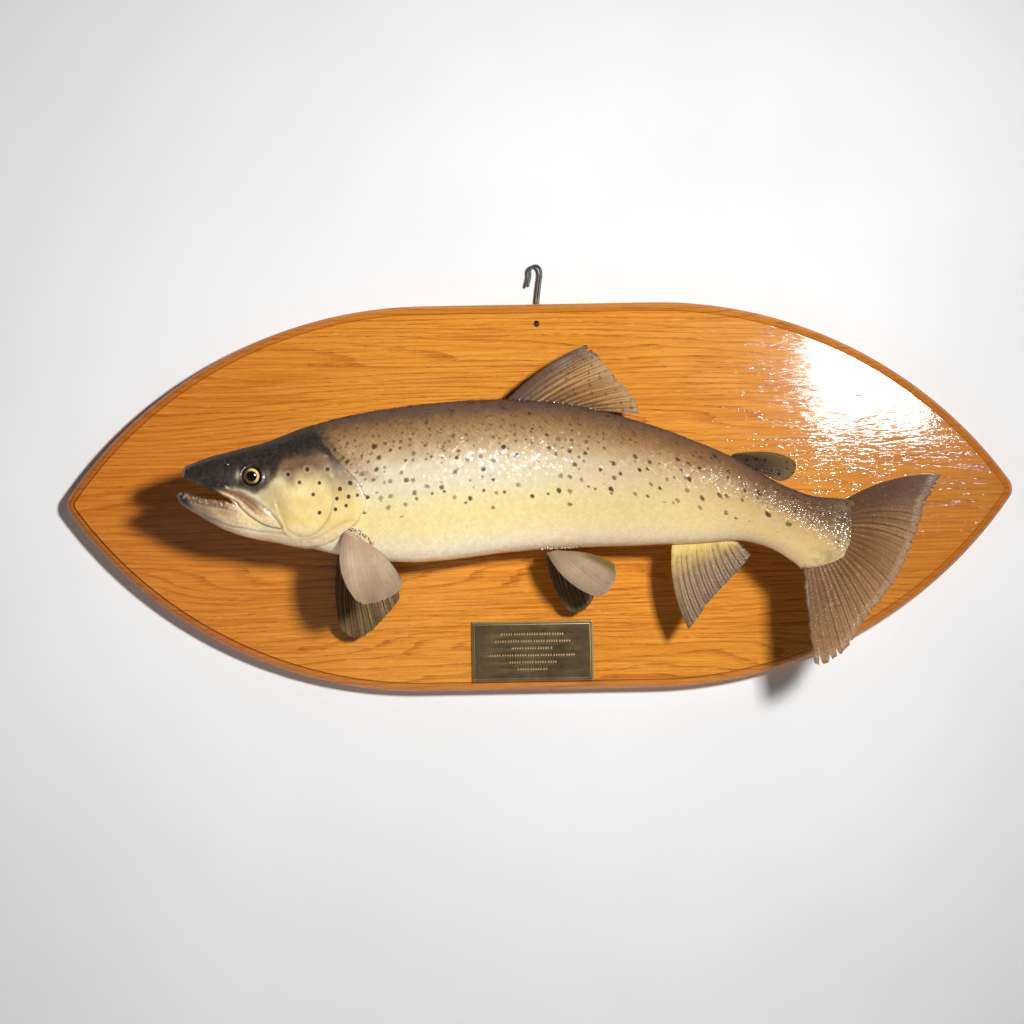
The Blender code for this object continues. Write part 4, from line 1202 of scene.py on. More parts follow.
@dataclass(frozen=True)
class NamePlate:
    """A bare brass plate with eased corners, an engraved border and plain engraved rules."""

    size: Place = (121.8, 1.2, 60.2)
    centre: tuple[float, float] = (-9.7, -154.2)
    corner: float = 0.8
    border: tuple[float, ...] = (2.6, 2.85, 3.3, 3.55)
    border_depth: float = 0.16
    rules: tuple[tuple[float, float], ...] = (
        (17.5, 62.0), (10.5, 74.0), (3.5, 40.0), (-3.5, 86.0), (-10.5, 46.0), (-17.5, 30.0))
    rule_breadth: float = 2.6
    # A stroke's length, the gaps after it within and between groups, and the strokes in a group
    stroke: float = 1.6
    gaps: tuple[float, float] = (0.8, 1.6)
    group: int = 5
    stroke_inset: float = 0.35
    stroke_depth: float = 0.16

    def build(self) -> bpy.types.Object:
        """Build and dress the plate.

        Returns:
            The plate.
        """
        bm = bmesh.new()
        crease = bm.verts.layers.float.new("crease")
        width, thick, height = self.size
        matrix = Matrix.Diagonal((width, thick, height, 1))
        bmesh.ops.create_cube(bm, size=1, matrix=matrix)
        upright = [e for e in bm.edges if abs(e.verts[0].co.y - e.verts[1].co.y) > 0.5]
        bmesh.ops.bevel(bm, geom=upright, offset=self.corner, segments=4, profile=0.5, affect="EDGES",
                        material=-1)
        front = max(bm.faces, key=lambda f: -f.calc_center_median().y)
        bmesh.ops.bevel(bm, geom=list(front.edges), offset=0.3, segments=3, profile=0.5, affect="EDGES",
                        material=-1)
        front = max(bm.faces, key=lambda f: (-round(f.calc_center_median().y, 3), f.calc_area()))
        edge = bm.verts.layers.float.new("edge")
        for vert in bm.verts:
            vert[edge] = 1.0
        faces = [front]
        for inset in self.border:
            for x, z in ((width / 2 - inset, 0), (inset - width / 2, 0)):
                faces = self.slice(bm, faces, (x, 0, z), (1, 0, 0))
            for x, z in ((0, height / 2 - inset), (0, inset - height / 2)):
                faces = self.slice(bm, faces, (x, 0, z), (0, 0, 1))
        for vert in dict.fromkeys(v for f in faces for v in f.verts):
            depth = min(width / 2 - abs(vert.co.x), height / 2 - abs(vert.co.z))
            vert[edge] = 1.0 if depth < 0.5 else 0.0
            if self.border[1] - 0.01 < depth < self.border[2] + 0.01:
                vert.co.y += self.border_depth
                vert[crease] = 1.0
        front = max(faces, key=lambda f: f.calc_area())
        self.engrave(bm, front, crease)
        bmesh.ops.translate(bm, vec=(self.centre[0], FORM.board_y(CLEARANCE + thick / 2), self.centre[1]),
                            verts=bm.verts)
        return dress(finish_mesh("name_plate_brass", bm, 30), AgedBrass(), "plate_brass", "name_plate")

    def engrave(self, bm: bmesh.types.BMesh, front: bmesh.types.BMFace,
                crease: bmesh.types.BMLayerItem) -> None:
        """Sink plain rules of short strokes into the plate's face.

        Args:
            bm: the plate's mesh.
            front: its face.
            crease: the layer that marks the grooves.
        """
        faces = [front]
        for z, _ in self.rules:
            for edge_z in (z - self.rule_breadth / 2, z + self.rule_breadth / 2):
                faces = self.slice(bm, faces, (0, 0, edge_z), (0, 0, 1))
        strokes = []
        for z, length in self.rules:
            row = [f for f in faces if abs(f.calc_center_median().z - z) < 0.2]
            x = -length / 2
            beat = 0
            while x < length / 2:
                end = x + self.stroke
                for edge_x in (x, end):
                    row = self.slice(bm, row, (edge_x, 0, 0), (1, 0, 0))
                strokes += [f for f in row if x < f.calc_center_median().x < end]
                beat += 1
                x += self.stroke + self.gaps[beat % self.group == 0]
        strokes = [f for f in dict.fromkeys(strokes) if f.is_valid and f.calc_area() < 6]
        bmesh.ops.inset_individual(bm, faces=strokes, thickness=self.stroke_inset,
                                   depth=-self.stroke_depth, use_even_offset=True)
        for face in strokes:
            for vert in face.verts:
                vert[crease] = 0.9

    @staticmethod
    def slice(bm: bmesh.types.BMesh, faces: list[bmesh.types.BMFace], point: Place, normal: Place
              ) -> list[bmesh.types.BMFace]:
        """Cut faces along a plane and return all the pieces."""
        geom = faces + [e for f in faces for e in f.edges] + [v for f in faces for v in f.verts]
        cut = bmesh.ops.bisect_plane(bm, geom=list(dict.fromkeys(geom)), plane_co=point, plane_no=normal,
                                     dist=1e-5)["geom"]
        return [g for g in cut if isinstance(g, bmesh.types.BMFace)]


@dataclass(frozen=True)
class HangingWire:
    """The bent wire that hangs the board: out of the hole, up the groove, over in a hook and down."""

    radius: float = 1.6
    sides: int = 14
    rings: int = 150
    groove_y: float = -2.4
    bend_z: float = 226.0
    reach: float = 5.6

    def route(self) -> list[Place]:
        """Return the points that the wire follows."""
        y = self.groove_y
        points = [(0.3, -17.5, HOLE_Z), (0.3, -11.0, HOLE_Z), (0.3, -6.6, HOLE_Z), (0.4, -3.6, 174.3),
                  (0.6, y, 178.0), (1.2, y, 186.0), (2.4, y, 200.0), (4.2, y, 214.0), (5.6, y, 223.0)]
        for step in range(1, 18):
            a = math.pi * step / 18
            points.append((self.reach * math.cos(a), y, self.bend_z + (self.reach + 1.2) * math.sin(a)))
        return points + [(-5.6, y, 222.0), (-6.8, y, 217.0), (-8.2, y, 211.5)]

    def build(self) -> bpy.types.Object:
        """Build and dress the wire.

        Returns:
            The wire.
        """
        path = SpacePath(self.route())
        bm = bmesh.new()
        rings = []
        for i in range(self.rings + 1):
            t = i / self.rings
            centre = Vector(path.at(t))
            ahead = Vector(path.at(min(t + 0.004, 1))) - Vector(path.at(max(t - 0.004, 0)))
            end = min(i, self.rings - i)
            radius = self.radius * (0.45, 0.85, 1.0)[min(end, 2)]
            turn = ahead.to_track_quat("Z", "Y").to_matrix().to_4x4()
            ring = bmesh.ops.create_circle(bm, segments=self.sides, radius=radius,
                                           matrix=Matrix.Translation(centre) @ turn, cap_ends=end == 0)
            rings.append(ring["verts"])
        for low, high in zip(rings, rings[1:]):
            edges = [e for v in low + high for e in v.link_edges
                     if (e.verts[0] in low) == (e.verts[1] in low)]
            bmesh.ops.bridge_loops(bm, edges=list(dict.fromkeys(edges)))
        bmesh.ops.recalc_face_normals(bm, faces=bm.faces)
        return dress(finish_mesh("hanging_wire", bm, 60), DarkWire(), "hook_wire", "hanger_hook")


@dataclass(frozen=True)
class FixingScrews:
    """The slotted screws that hold the fish from behind, with their heads in the board's recesses."""

    turns: tuple[float, ...] = (25.0, 110.0)
    profile: tuple[tuple[float, float], ...] = (
        (0.0, -3.1), (2.6, -3.1), (3.3, -2.6), (4.35, -0.9), (4.55, -0.6), (4.5, -0.35), (4.2, -0.2),
        (2.6, -0.06), (0.0, 0.0))
    slot: tuple[float, float] = (1.1, 0.9)

    def build(self) -> list[bpy.types.Object]:
        """Build and dress the screws.

        Returns:
            The screws.
        """
        made = []
        for number, ((x, z), turn) in enumerate(zip(SCREW_PLACES, self.turns)):
            bm = bmesh.new()
            verts = [bm.verts.new((r, y, 0)) for r, y in self.profile]
            edges = [bm.edges.new(pair) for pair in zip(verts, verts[1:])]
            bmesh.ops.spin(bm, geom=verts + edges, cent=(0, 0, 0), axis=(0, 1, 0), angle=2 * math.pi,
                           steps=36, use_merge=True)
            bmesh.ops.remove_doubles(bm, verts=bm.verts, dist=0.002)
            for side in (-1, 1):
                bmesh.ops.bisect_plane(bm, geom=bm.verts[:] + bm.edges[:] + bm.faces[:], dist=1e-5,
                                       plane_co=(side * self.slot[0] / 2, 0, 0), plane_no=(1, 0, 0))
            bed = [f for f in bm.faces if abs(f.calc_center_median().x) < self.slot[0] / 2
                   and f.calc_center_median().y > -0.6]
            made_geom = bmesh.ops.extrude_face_region(bm, geom=bed)["geom"]
            sunk = [g for g in made_geom if isinstance(g, bmesh.types.BMVert)]
            bmesh.ops.translate(bm, vec=(0, -self.slot[1], 0), verts=sunk)
            bmesh.ops.delete(bm, geom=[f for f in bed if f.is_valid], context="FACES")
            bmesh.ops.recalc_face_normals(bm, faces=bm.faces)
            matrix = Matrix.Translation((x, -0.2, z)) @ Matrix.Rotation(math.radians(turn), 4, "Y")
            bmesh.ops.transform(bm, matrix=matrix, verts=bm.verts)
            obj = finish_mesh(f"slotted_screw_{number + 1}", bm, 30)
            made.append(dress(obj, DullSteel(), "screw_steel", f"fixing_screw_{number + 1}"))
        return made


# ---------------------------------------------------------------- the head's relief and stains
@dataclass(frozen=True)
class HeadMap:
    """The features of the head, drawn in side view: where they stand proud, sink in and change colour."""

    eye: tuple[float, float] = (-276.0, 24.0)
    eye_radius: float = 9.3
    gill: Trace = Trace(((-226, 84), (-214, 66), (-206, 53), (-198, 42), (-192, 35), (-185, 28), (-179, 22),
                         (-174, 15.5), (-170, 8), (-168, -1), (-170, -10), (-176, -20), (-183, -26.5),
                         (-191, -33), (-201, -39), (-214, -44), (-226, -47)))
    cheek: Trace = Trace(((-252.6, -2), (-249.8, -10.7), (-247.1, -18.4), (-244.4, -25.2), (-239.7, -30),
                          (-232, -33), (-223.4, -33.2), (-214.8, -29.5), (-207.9, -23), (-203, -15.4),
                          (-200, -4.9), (-199.7, 9.5), (-202.4, 22)))
    under_cheek: Trace = Trace(((-231.2, -36.4), (-219.6, -35.6), (-209, -31.6), (-199.4, -26),
                                (-190, -21.5), (-179, -19)))
    blade: Trace = Trace(((-326, 20), (-311, 13.5), (-298, 8.2), (-287.5, 3.8), (-280.8, -2),
                          (-272.8, -8.8), (-264.3, -15.2), (-256.7, -20.4), (-250.5, -24.8)))
    blade_half: SmoothCurve = SmoothCurve([(0, 1.4), (0.2, 2.2), (0.42, 4.2), (0.62, 6.8), (0.82, 6.2),
                                           (0.93, 3.8), (1, 1.2)])
    jaw_groove: Trace = Trace(((-331, -9.3), (-322.5, -13.2), (-313, -17.3), (-298.7, -23.3),
                               (-284.3, -26.4), (-268, -29.6), (-246, -31.9)))
    gum_edge: Trace = Trace(((-344.3, 4.2), (-336.7, 2.2), (-327.1, -1.2), (-315.7, -3.8), (-303.2, -6.8),
                             (-291, -9.2)))
    fold: Trace = Trace(((-292, -26), (-262, -34), (-240, -39), (-220, -41), (-200, -38), (-186, -31)))
    brow: Trace = Trace(((-311, 21), (-304, 16.2), (-298, 11.5)))
    nostrils: tuple[Place, ...] = ((-300.6, 38.2, 1.7), (-297.4, 34.4, 1.35))
    cap_edge: SmoothCurve = SmoothCurve(
        [(-346, 25), (-335, 22), (-322, 16.5), (-309, 10.5), (-300, 11), (-291, 13), (-284, 10), (-275, 9),
         (-266, 11), (-260, 15), (-255, 24), (-249, 33), (-237, 39), (-225, 43), (-212, 42), (-203, 36),
         (-195, 30)])
    cap_rear: SmoothCurve = SmoothCurve([(26, -194), (36, -197), (50, -206), (62, -213), (78, -220)])
    # The cheek's spots: X, Z and radius
    flecks: tuple[Place, ...] = (
        (-241.1, 25.0, 2.3), (-230.2, 17.2, 2.2), (-222.8, 29.5, 2.5), (-203.6, 29.2, 2.4),
        (-217.5, 5.5, 2.2), (-211.5, 16.4, 2.1), (-212.0, -11.9, 2.2), (-192.0, 10.3, 2.5),
        (-195.1, 1.2, 2.2), (-184.0, 2.9, 2.4), (-186.6, -5.6, 2.1), (-196.7, -8.8, 2.2),
        (-182.3, 15.8, 2.6), (-175.6, 4.2, 2.0))
    # Pale patches, partly clouded resin and partly painted highlights: X, Z, breadth, height and strength
    clouding_and_glints: tuple[tuple[float, float, float, float, float], ...] = (
        (-288.6, 25.2, 2.9, 5.2, 0.85), (-260.8, 24.6, 3.6, 7.0, 0.42), (-199.9, 22.9, 1.9, 2.6, 0.7),
        (-170.4, 11.8, 1.8, 3.2, 0.6), (-168.7, 4.1, 1.7, 2.8, 0.6), (-172.1, -2.5, 1.5, 2.4, 0.5),
        (-204.9, 41.6, 2.6, 1.1, 0.7), (-299.2, 13.2, 2.6, 1.1, 0.7), (-189.0, -29.0, 5.0, 2.6, 0.75),
        (-178.0, -33.0, 4.6, 2.4, 0.75), (-168.5, -38.0, 3.4, 2.2, 0.6))

    def behind_gill(self, x: Array, z: Array) -> Array:
        """Return the distance behind the gill cover's rear edge, below zero on the head."""
        return -self.gill.measure(x, z)[0]

    def cap(self, points: Array) -> Array:
        """Return how much of the head's dark cap lies at places."""
        x, z = points[..., 0], points[..., 2]
        uneven = 3.0 * drift(points, 7.0, 5) + 1.6 * drift(points, 2.6, 6)
        over = step_up(z - self.cap_edge(x) + uneven, -5.0, 7.0)
        before = 1 - step_up(x - self.cap_rear(z) + 1.6 * uneven, -4.0, 17.0)
        chin = step_up(-334.0 - x + 0.7 * uneven, -4.5, 4.0) * step_up(z + 0.3 * (x + 348), -9.0, -4.0)
        snout = step_up(-306.0 - x + uneven, -6.0, 6.0) * step_up(z - FORM.lip(x), -2.0, 1.0)
        return np.maximum.reduce([over * before, chin, snout])

    def stains(self, points: Array, height: Array) -> dict[str, Array]:
        """Work out the values that colour the head and body.

        Args:
            points: places on the form.
            height: their share of the height, 0 on the back and 1 on the belly; not used.

        Returns:
            Values from 0 to 1 by attribute name.
        """
        x, z = points[..., 0], points[..., 2]
        behind = self.behind_gill(x, z)
        on_head = 1 - step_up(behind, -1.5, 1.0)
        cap = self.cap(points)
        uneven = 2.6 * drift(points, 8.0, 8) + 1.2 * drift(points, 3.0, 12)
        below_cap = self.cap_edge(x) - z + uneven
        reach = np.hypot((x + 216) / 52, (z + 6) / 36)
        cheek = on_head * (1 - step_up(reach, 0.55, 1.25)) * 0.9
        from_eye = np.hypot(x - self.eye[0], z - self.eye[1]) + uneven
        near_eye = 1 - step_up(from_eye, 9.0, 16.5)
        olive = on_head * (1 - step_up(np.hypot((x + 258) / 22, (z + 4) / 30) + 0.03 * uneven, 0.4, 1.2))
        far = step_up(x, -262.0, -236.0)
        under = 1 - step_up(below_cap, mix(-4.0, 7.0, far), mix(5.0, 34.0, far))
        dusk = np.maximum(under * (1 - 0.3 * step_up(x, -222.0, -196.0)), near_eye) * on_head
        blade, share = self.blade.measure(x, z)
        half = self.blade_half(share)
        on_blade = step_up(half - np.abs(blade), -0.5, 0.8) * step_up(x, -322, -306)
        upper_blade = on_blade * step_up(0.3 * half - blade, -1.2, 1.4) * (1 - step_up(share, 0.58, 0.86))
        dusk = np.maximum(dusk, 0.34 * olive)
        dusk = mix(dusk, 0.35 * upper_blade, on_blade * step_up(x, -316, -300))
        lower_shade = (1 - step_up(x, -322.0, -296.0)) * on_head * step_up(self.cap_edge(x) - z, 6.0, 10.0)
        dusk = np.maximum(dusk, 0.72 * lower_shade)
        low_jaw = on_head * (1 - step_up(x, -292.0, -262.0)) * step_up(self.cap_edge(x) - z, 4.0, 9.0)
        throat = 0.8 * on_head * step_up(-z, 20.0, 36.0)
        jaw = np.maximum.reduce([0.9 * on_blade, low_jaw, throat])
        ridge, along = self.cheek.measure(x, z)
        # Pale: painted highlights on the cheek's ridge and beside the maxilla, pale specks on the gum, and
        # the pale patches
        pale = on_head * 0.16 * hump(ridge - 1.2, 1.5) * step_up(along, 0.62, 0.75)
        blade_highlight = hump(np.abs(blade) - half - 2.4, 1.2) * step_up(share, 0.35, 0.5) * (blade < 0)
        pale = np.maximum(pale, 0.7 * blade_highlight * (1 - step_up(share, 0.93, 1.0)))
        gum = self.gum_edge.measure(x, z)[0]
        below = z < 0.5 * (FORM.lip(x) + FORM.rim(x))
        on_gum = step_up(-gum, -1.2, 1.2) * below * (1 - step_up(x, -304.0, -291.0))
        # Painted shade in a band under the gum, on the lower jaw's front
        under_gum_shade = hump(gum - 3.2, 4.2) * on_head * (1 - step_up(x, -304.0, -282.0)) * (z < 8.0)
        dusk = np.maximum.reduce([dusk, 0.95 * on_gum, 0.5 * under_gum_shade])
        pale = np.maximum(pale, 0.55 * on_gum * step_up(drift(points, 1.5, 9), 0.0, 0.5))
        for a, b, wide, tall, strength in self.clouding_and_glints:
            pale = np.maximum(pale, strength * hump(np.hypot((x - a) / wide, (z - b) / tall), 1.0))
        copper = step_up(behind, -9.0, 0.0) * (1 - step_up(behind, 10.0, 26.0)) * step_up(z, 12.0, 24.0)
        copper *= (1 - step_up(z, 40.0, 50.0)) * (0.5 + 0.4 * drift(points, 2.2, 15))
        plain = 1 - np.clip(pale, 0, 1)
        spots = step_up(behind, 4.0, 9.0)
        return {"cap": cap * plain, "dusk": dusk * plain, "cheek": np.maximum(cheek, 0.0), "jaw": jaw,
                "bronze": np.maximum(0.95 * upper_blade, copper), "pale": pale, "spots": spots,
                "crease": self.creases(points, behind) * (1 - 0.8 * cap)}

    def creases(self, points: Array, behind: Array) -> Array:
        """Return how much painted shade lies in the head's grooves, folds, eye socket and nostrils."""
        x, z = points[..., 0], points[..., 2]
        gill = hump(behind - 1.0, 1.7) * step_up(z, -46, -38) * (1 - step_up(z, 44, 58))
        gill *= mix(0.34, 0.6, step_up(z, 16.0, 30.0)) * (0.8 + 0.4 * drift(points, 5.0, 17))
        ridge, run = self.cheek.measure(x, z)
        cheek = 0.34 * hump(ridge, 1.1) * step_up(run, 0.12, 0.3) * (1 - 0.8 * step_up(run, 0.62, 0.8))
        second = 0.22 * hump(self.under_cheek.measure(x, z)[0], 0.9)
        blade, share = self.blade.measure(x, z)
        edge = 0.75 * hump(np.abs(blade) - self.blade_half(share) - 0.5, 0.8) * step_up(share, 0.3, 0.45)
        inner = 0.45 * hump(blade + 0.45 * self.blade_half(share), 0.8) * step_up(share, 0.35, 0.5)
        inner *= 1 - step_up(share, 0.7, 0.85)
        jaw = 0.24 * hump(self.jaw_groove.measure(x, z)[0], 1.3)
        gum = 0.3 * hump(self.gum_edge.measure(x, z)[0], 1.2) * (x < -290)
        d_eye = np.hypot(x - self.eye[0], z - self.eye[1])
        socket = 0.85 * (1 - step_up(d_eye, 9.4, 11.2))
        pouch = np.hypot(x - self.eye[0] - 2.0, z - self.eye[1] + 0.5) - 12.4
        socket = np.maximum(socket, 0.75 * hump(pouch, 1.7) * step_up(x - z, -301.0, -288.0))
        nose = np.maximum.reduce([1 - step_up(np.hypot(x - a, z - b), r - 0.4, r + 0.7)
                                  for a, b, r in self.nostrils])
        return np.maximum.reduce([gill, cheek, second, edge, inner, jaw, gum, socket, nose])

    def relief(self, points: Array) -> Array:
        """Work out how far the skin stands proud of the plain form.

        Args:
            points: places on the form.

        Returns:
            Distances in millimetres, below zero where the skin sinks in.
        """
        x, z = points[..., 0], points[..., 2]
        behind = self.behind_gill(x, z)
        strong = (1 - step_up(z, 46, 64)) * step_up(z, -49, -41)
        cover = step_up(-behind, -0.7, 1.1) * mix(1.0, 0.25, step_up(-behind, 3.0, 40.0))
        rise = strong * (1.9 * cover - 0.9 * hump(behind - 1.6, 1.5))
        ridge, along = self.cheek.measure(x, z)
        fainter = mix(1.0, 0.5, step_up(along, 0.6, 0.8))
        rise += (0.4 * hump(ridge - 2.4, 2.4) - 0.45 * hump(ridge, 1.5)) * fainter
        rise -= 0.45 * hump(self.under_cheek.measure(x, z)[0], 1.1)
        blade, share = self.blade.measure(x, z)
        half = self.blade_half(share)
        tall = step_up(share, 0.0, 0.35)
        dome = (1 - (blade / (half + 2)) ** 2) * (np.abs(blade) < half)
        rise += tall * (1.25 * step_up(half - np.abs(blade), -0.5, 1.0) + 0.35 * dome)
        rise -= 0.5 * tall * hump(np.abs(blade) - half - 1.0, 0.9)
        rise += 0.55 * tall * hump(np.abs(blade) - half - 3.0, 1.5) * (blade < 0)
        rise -= 0.4 * tall * hump(blade + 0.45 * half, 0.9) * (1 - step_up(share, 0.7, 0.85))
        over_lip = z - FORM.lip(x)
        ahead = x < FORM.corner_x
        upper = ahead & (z > 0.5 * (FORM.lip(x) + FORM.rim(x)))
        rise += np.where(upper, 0.8 * hump(over_lip - 1.6, 1.7) - 0.35 * hump(over_lip - 5.4, 1.4), 0.0)
        rise += 1.1 * hump(self.brow.measure(x, z)[0], 1.1)
        gum = self.gum_edge.measure(x, z)[0]
        on_gum = np.where(ahead & ~upper, step_up(-gum, -0.6, 0.8), 0.0)
        rise += on_gum * (0.5 + 0.8 * drift(points, 1.9, 3)) - 0.5 * ahead * ~upper * hump(gum, 1.0)
        rise -= 0.8 * hump(self.jaw_groove.measure(x, z)[0], 1.2)
        fold, run = self.fold.measure(x, z)
        ribs = (0.5 + 0.5 * np.cos(2 * math.pi * fold / 3.5)) ** 2
        ribs = ribs * step_up(fold, 0.5, 3.0) * (1 - step_up(fold, 12.0, 17.0))
        rise -= 0.5 * ribs * step_up(run, 0.1, 0.3)
        d_eye = np.hypot(x - self.eye[0], z - self.eye[1])
        rise -= 5.0 * (1 - step_up(d_eye, self.eye_radius - 0.9, self.eye_radius + 0.1))
        rise += 0.75 * hump(d_eye - 10.6, 1.1) - 0.3 * hump(d_eye - 13.2, 1.2)
        for a, b, r in self.nostrils:
            gap = np.hypot(x - a, z - b)
            rise += 0.2 * hump(gap - r - 0.8, 0.8) - 0.8 * (1 - step_up(gap, r - 0.7, r + 0.8))
        calm = 1 - step_up(behind, -4.0, 4.0)
        return rise + calm * (0.28 * drift(points, 9.0, 1) + 0.13 * drift(points, 2.8, 2))

    def flecking(self, points: Array) -> tuple[Array, Array]:
        """Return the cheek's dark spots and the pale rings round them."""
        x, z = points[..., 0], points[..., 2]
        spot, ring = np.zeros(x.shape), np.zeros(x.shape)
        for a, b, r in self.flecks:
            gap = np.hypot(x - a, z - b)
            spot = np.maximum(spot, 1 - step_up(gap, r - 2.1, r + 1.5))
            ring = np.maximum(ring, 1 - step_up(gap, r + 0.6, r + 2.2))
        return spot, ring


HEAD = HeadMap()


# ---------------------------------------------------------------- skin
class SkinChart:
    """Where each place of the unrolled skin lies on the form."""

    steps = 72

    def __init__(self, stations: Array, upper: bool, side: int) -> None:
        """Measure a quarter of each section.

        Args:
            stations: places along the body.
            upper: whether it is the quarter over the flank or the one under it.
            side: 1 for the left, -1 for the right.
        """
        first = 0.0 if upper else math.pi / 2
        q = np.linspace(0, 1, self.steps + 1)
        self.angles = first + (q - 0.5 * np.sin(2 * math.pi * q) / math.pi * 0.35) * math.pi / 2
        points = section(stations[:, None], self.angles[None], side, upper)
        lengths = np.linalg.norm(np.diff(points, axis=1), axis=2)
        self.travelled = np.concatenate([np.zeros((len(stations), 1)), np.cumsum(lengths, axis=1)], axis=1)
        self.girth = self.travelled[:, -1]

    def angle(self, row: Array, share: Array) -> Array:
        """Return the angle at a share of a row's quarter."""
        out = np.empty(row.shape)
        shares = np.linspace(0, 1, self.steps + 1)
        even = self.angles[0] + shares * math.pi / 2
        for number in np.unique(row):
            here = row == number
            travelled = self.travelled[number]
            if travelled[-1] < 1e-3:
                out[here] = np.interp(share[here], shares, even)
            else:
                out[here] = np.interp(share[here] * travelled[-1], travelled, self.angles)
        return out


def section(station: Array, angle: Array, side: Array, upper: bool) -> Array:
    """Return points of the form, with the open mouth in front of its corner."""
    station, angle, side = np.broadcast_arrays(station, angle, side)
    ahead = station < FORM.corner_x - 1e-6
    jaw = FORM.jaw_section(station, angle, side, upper)
    return np.where(ahead[..., None], jaw, FORM.flesh(station, angle, side))


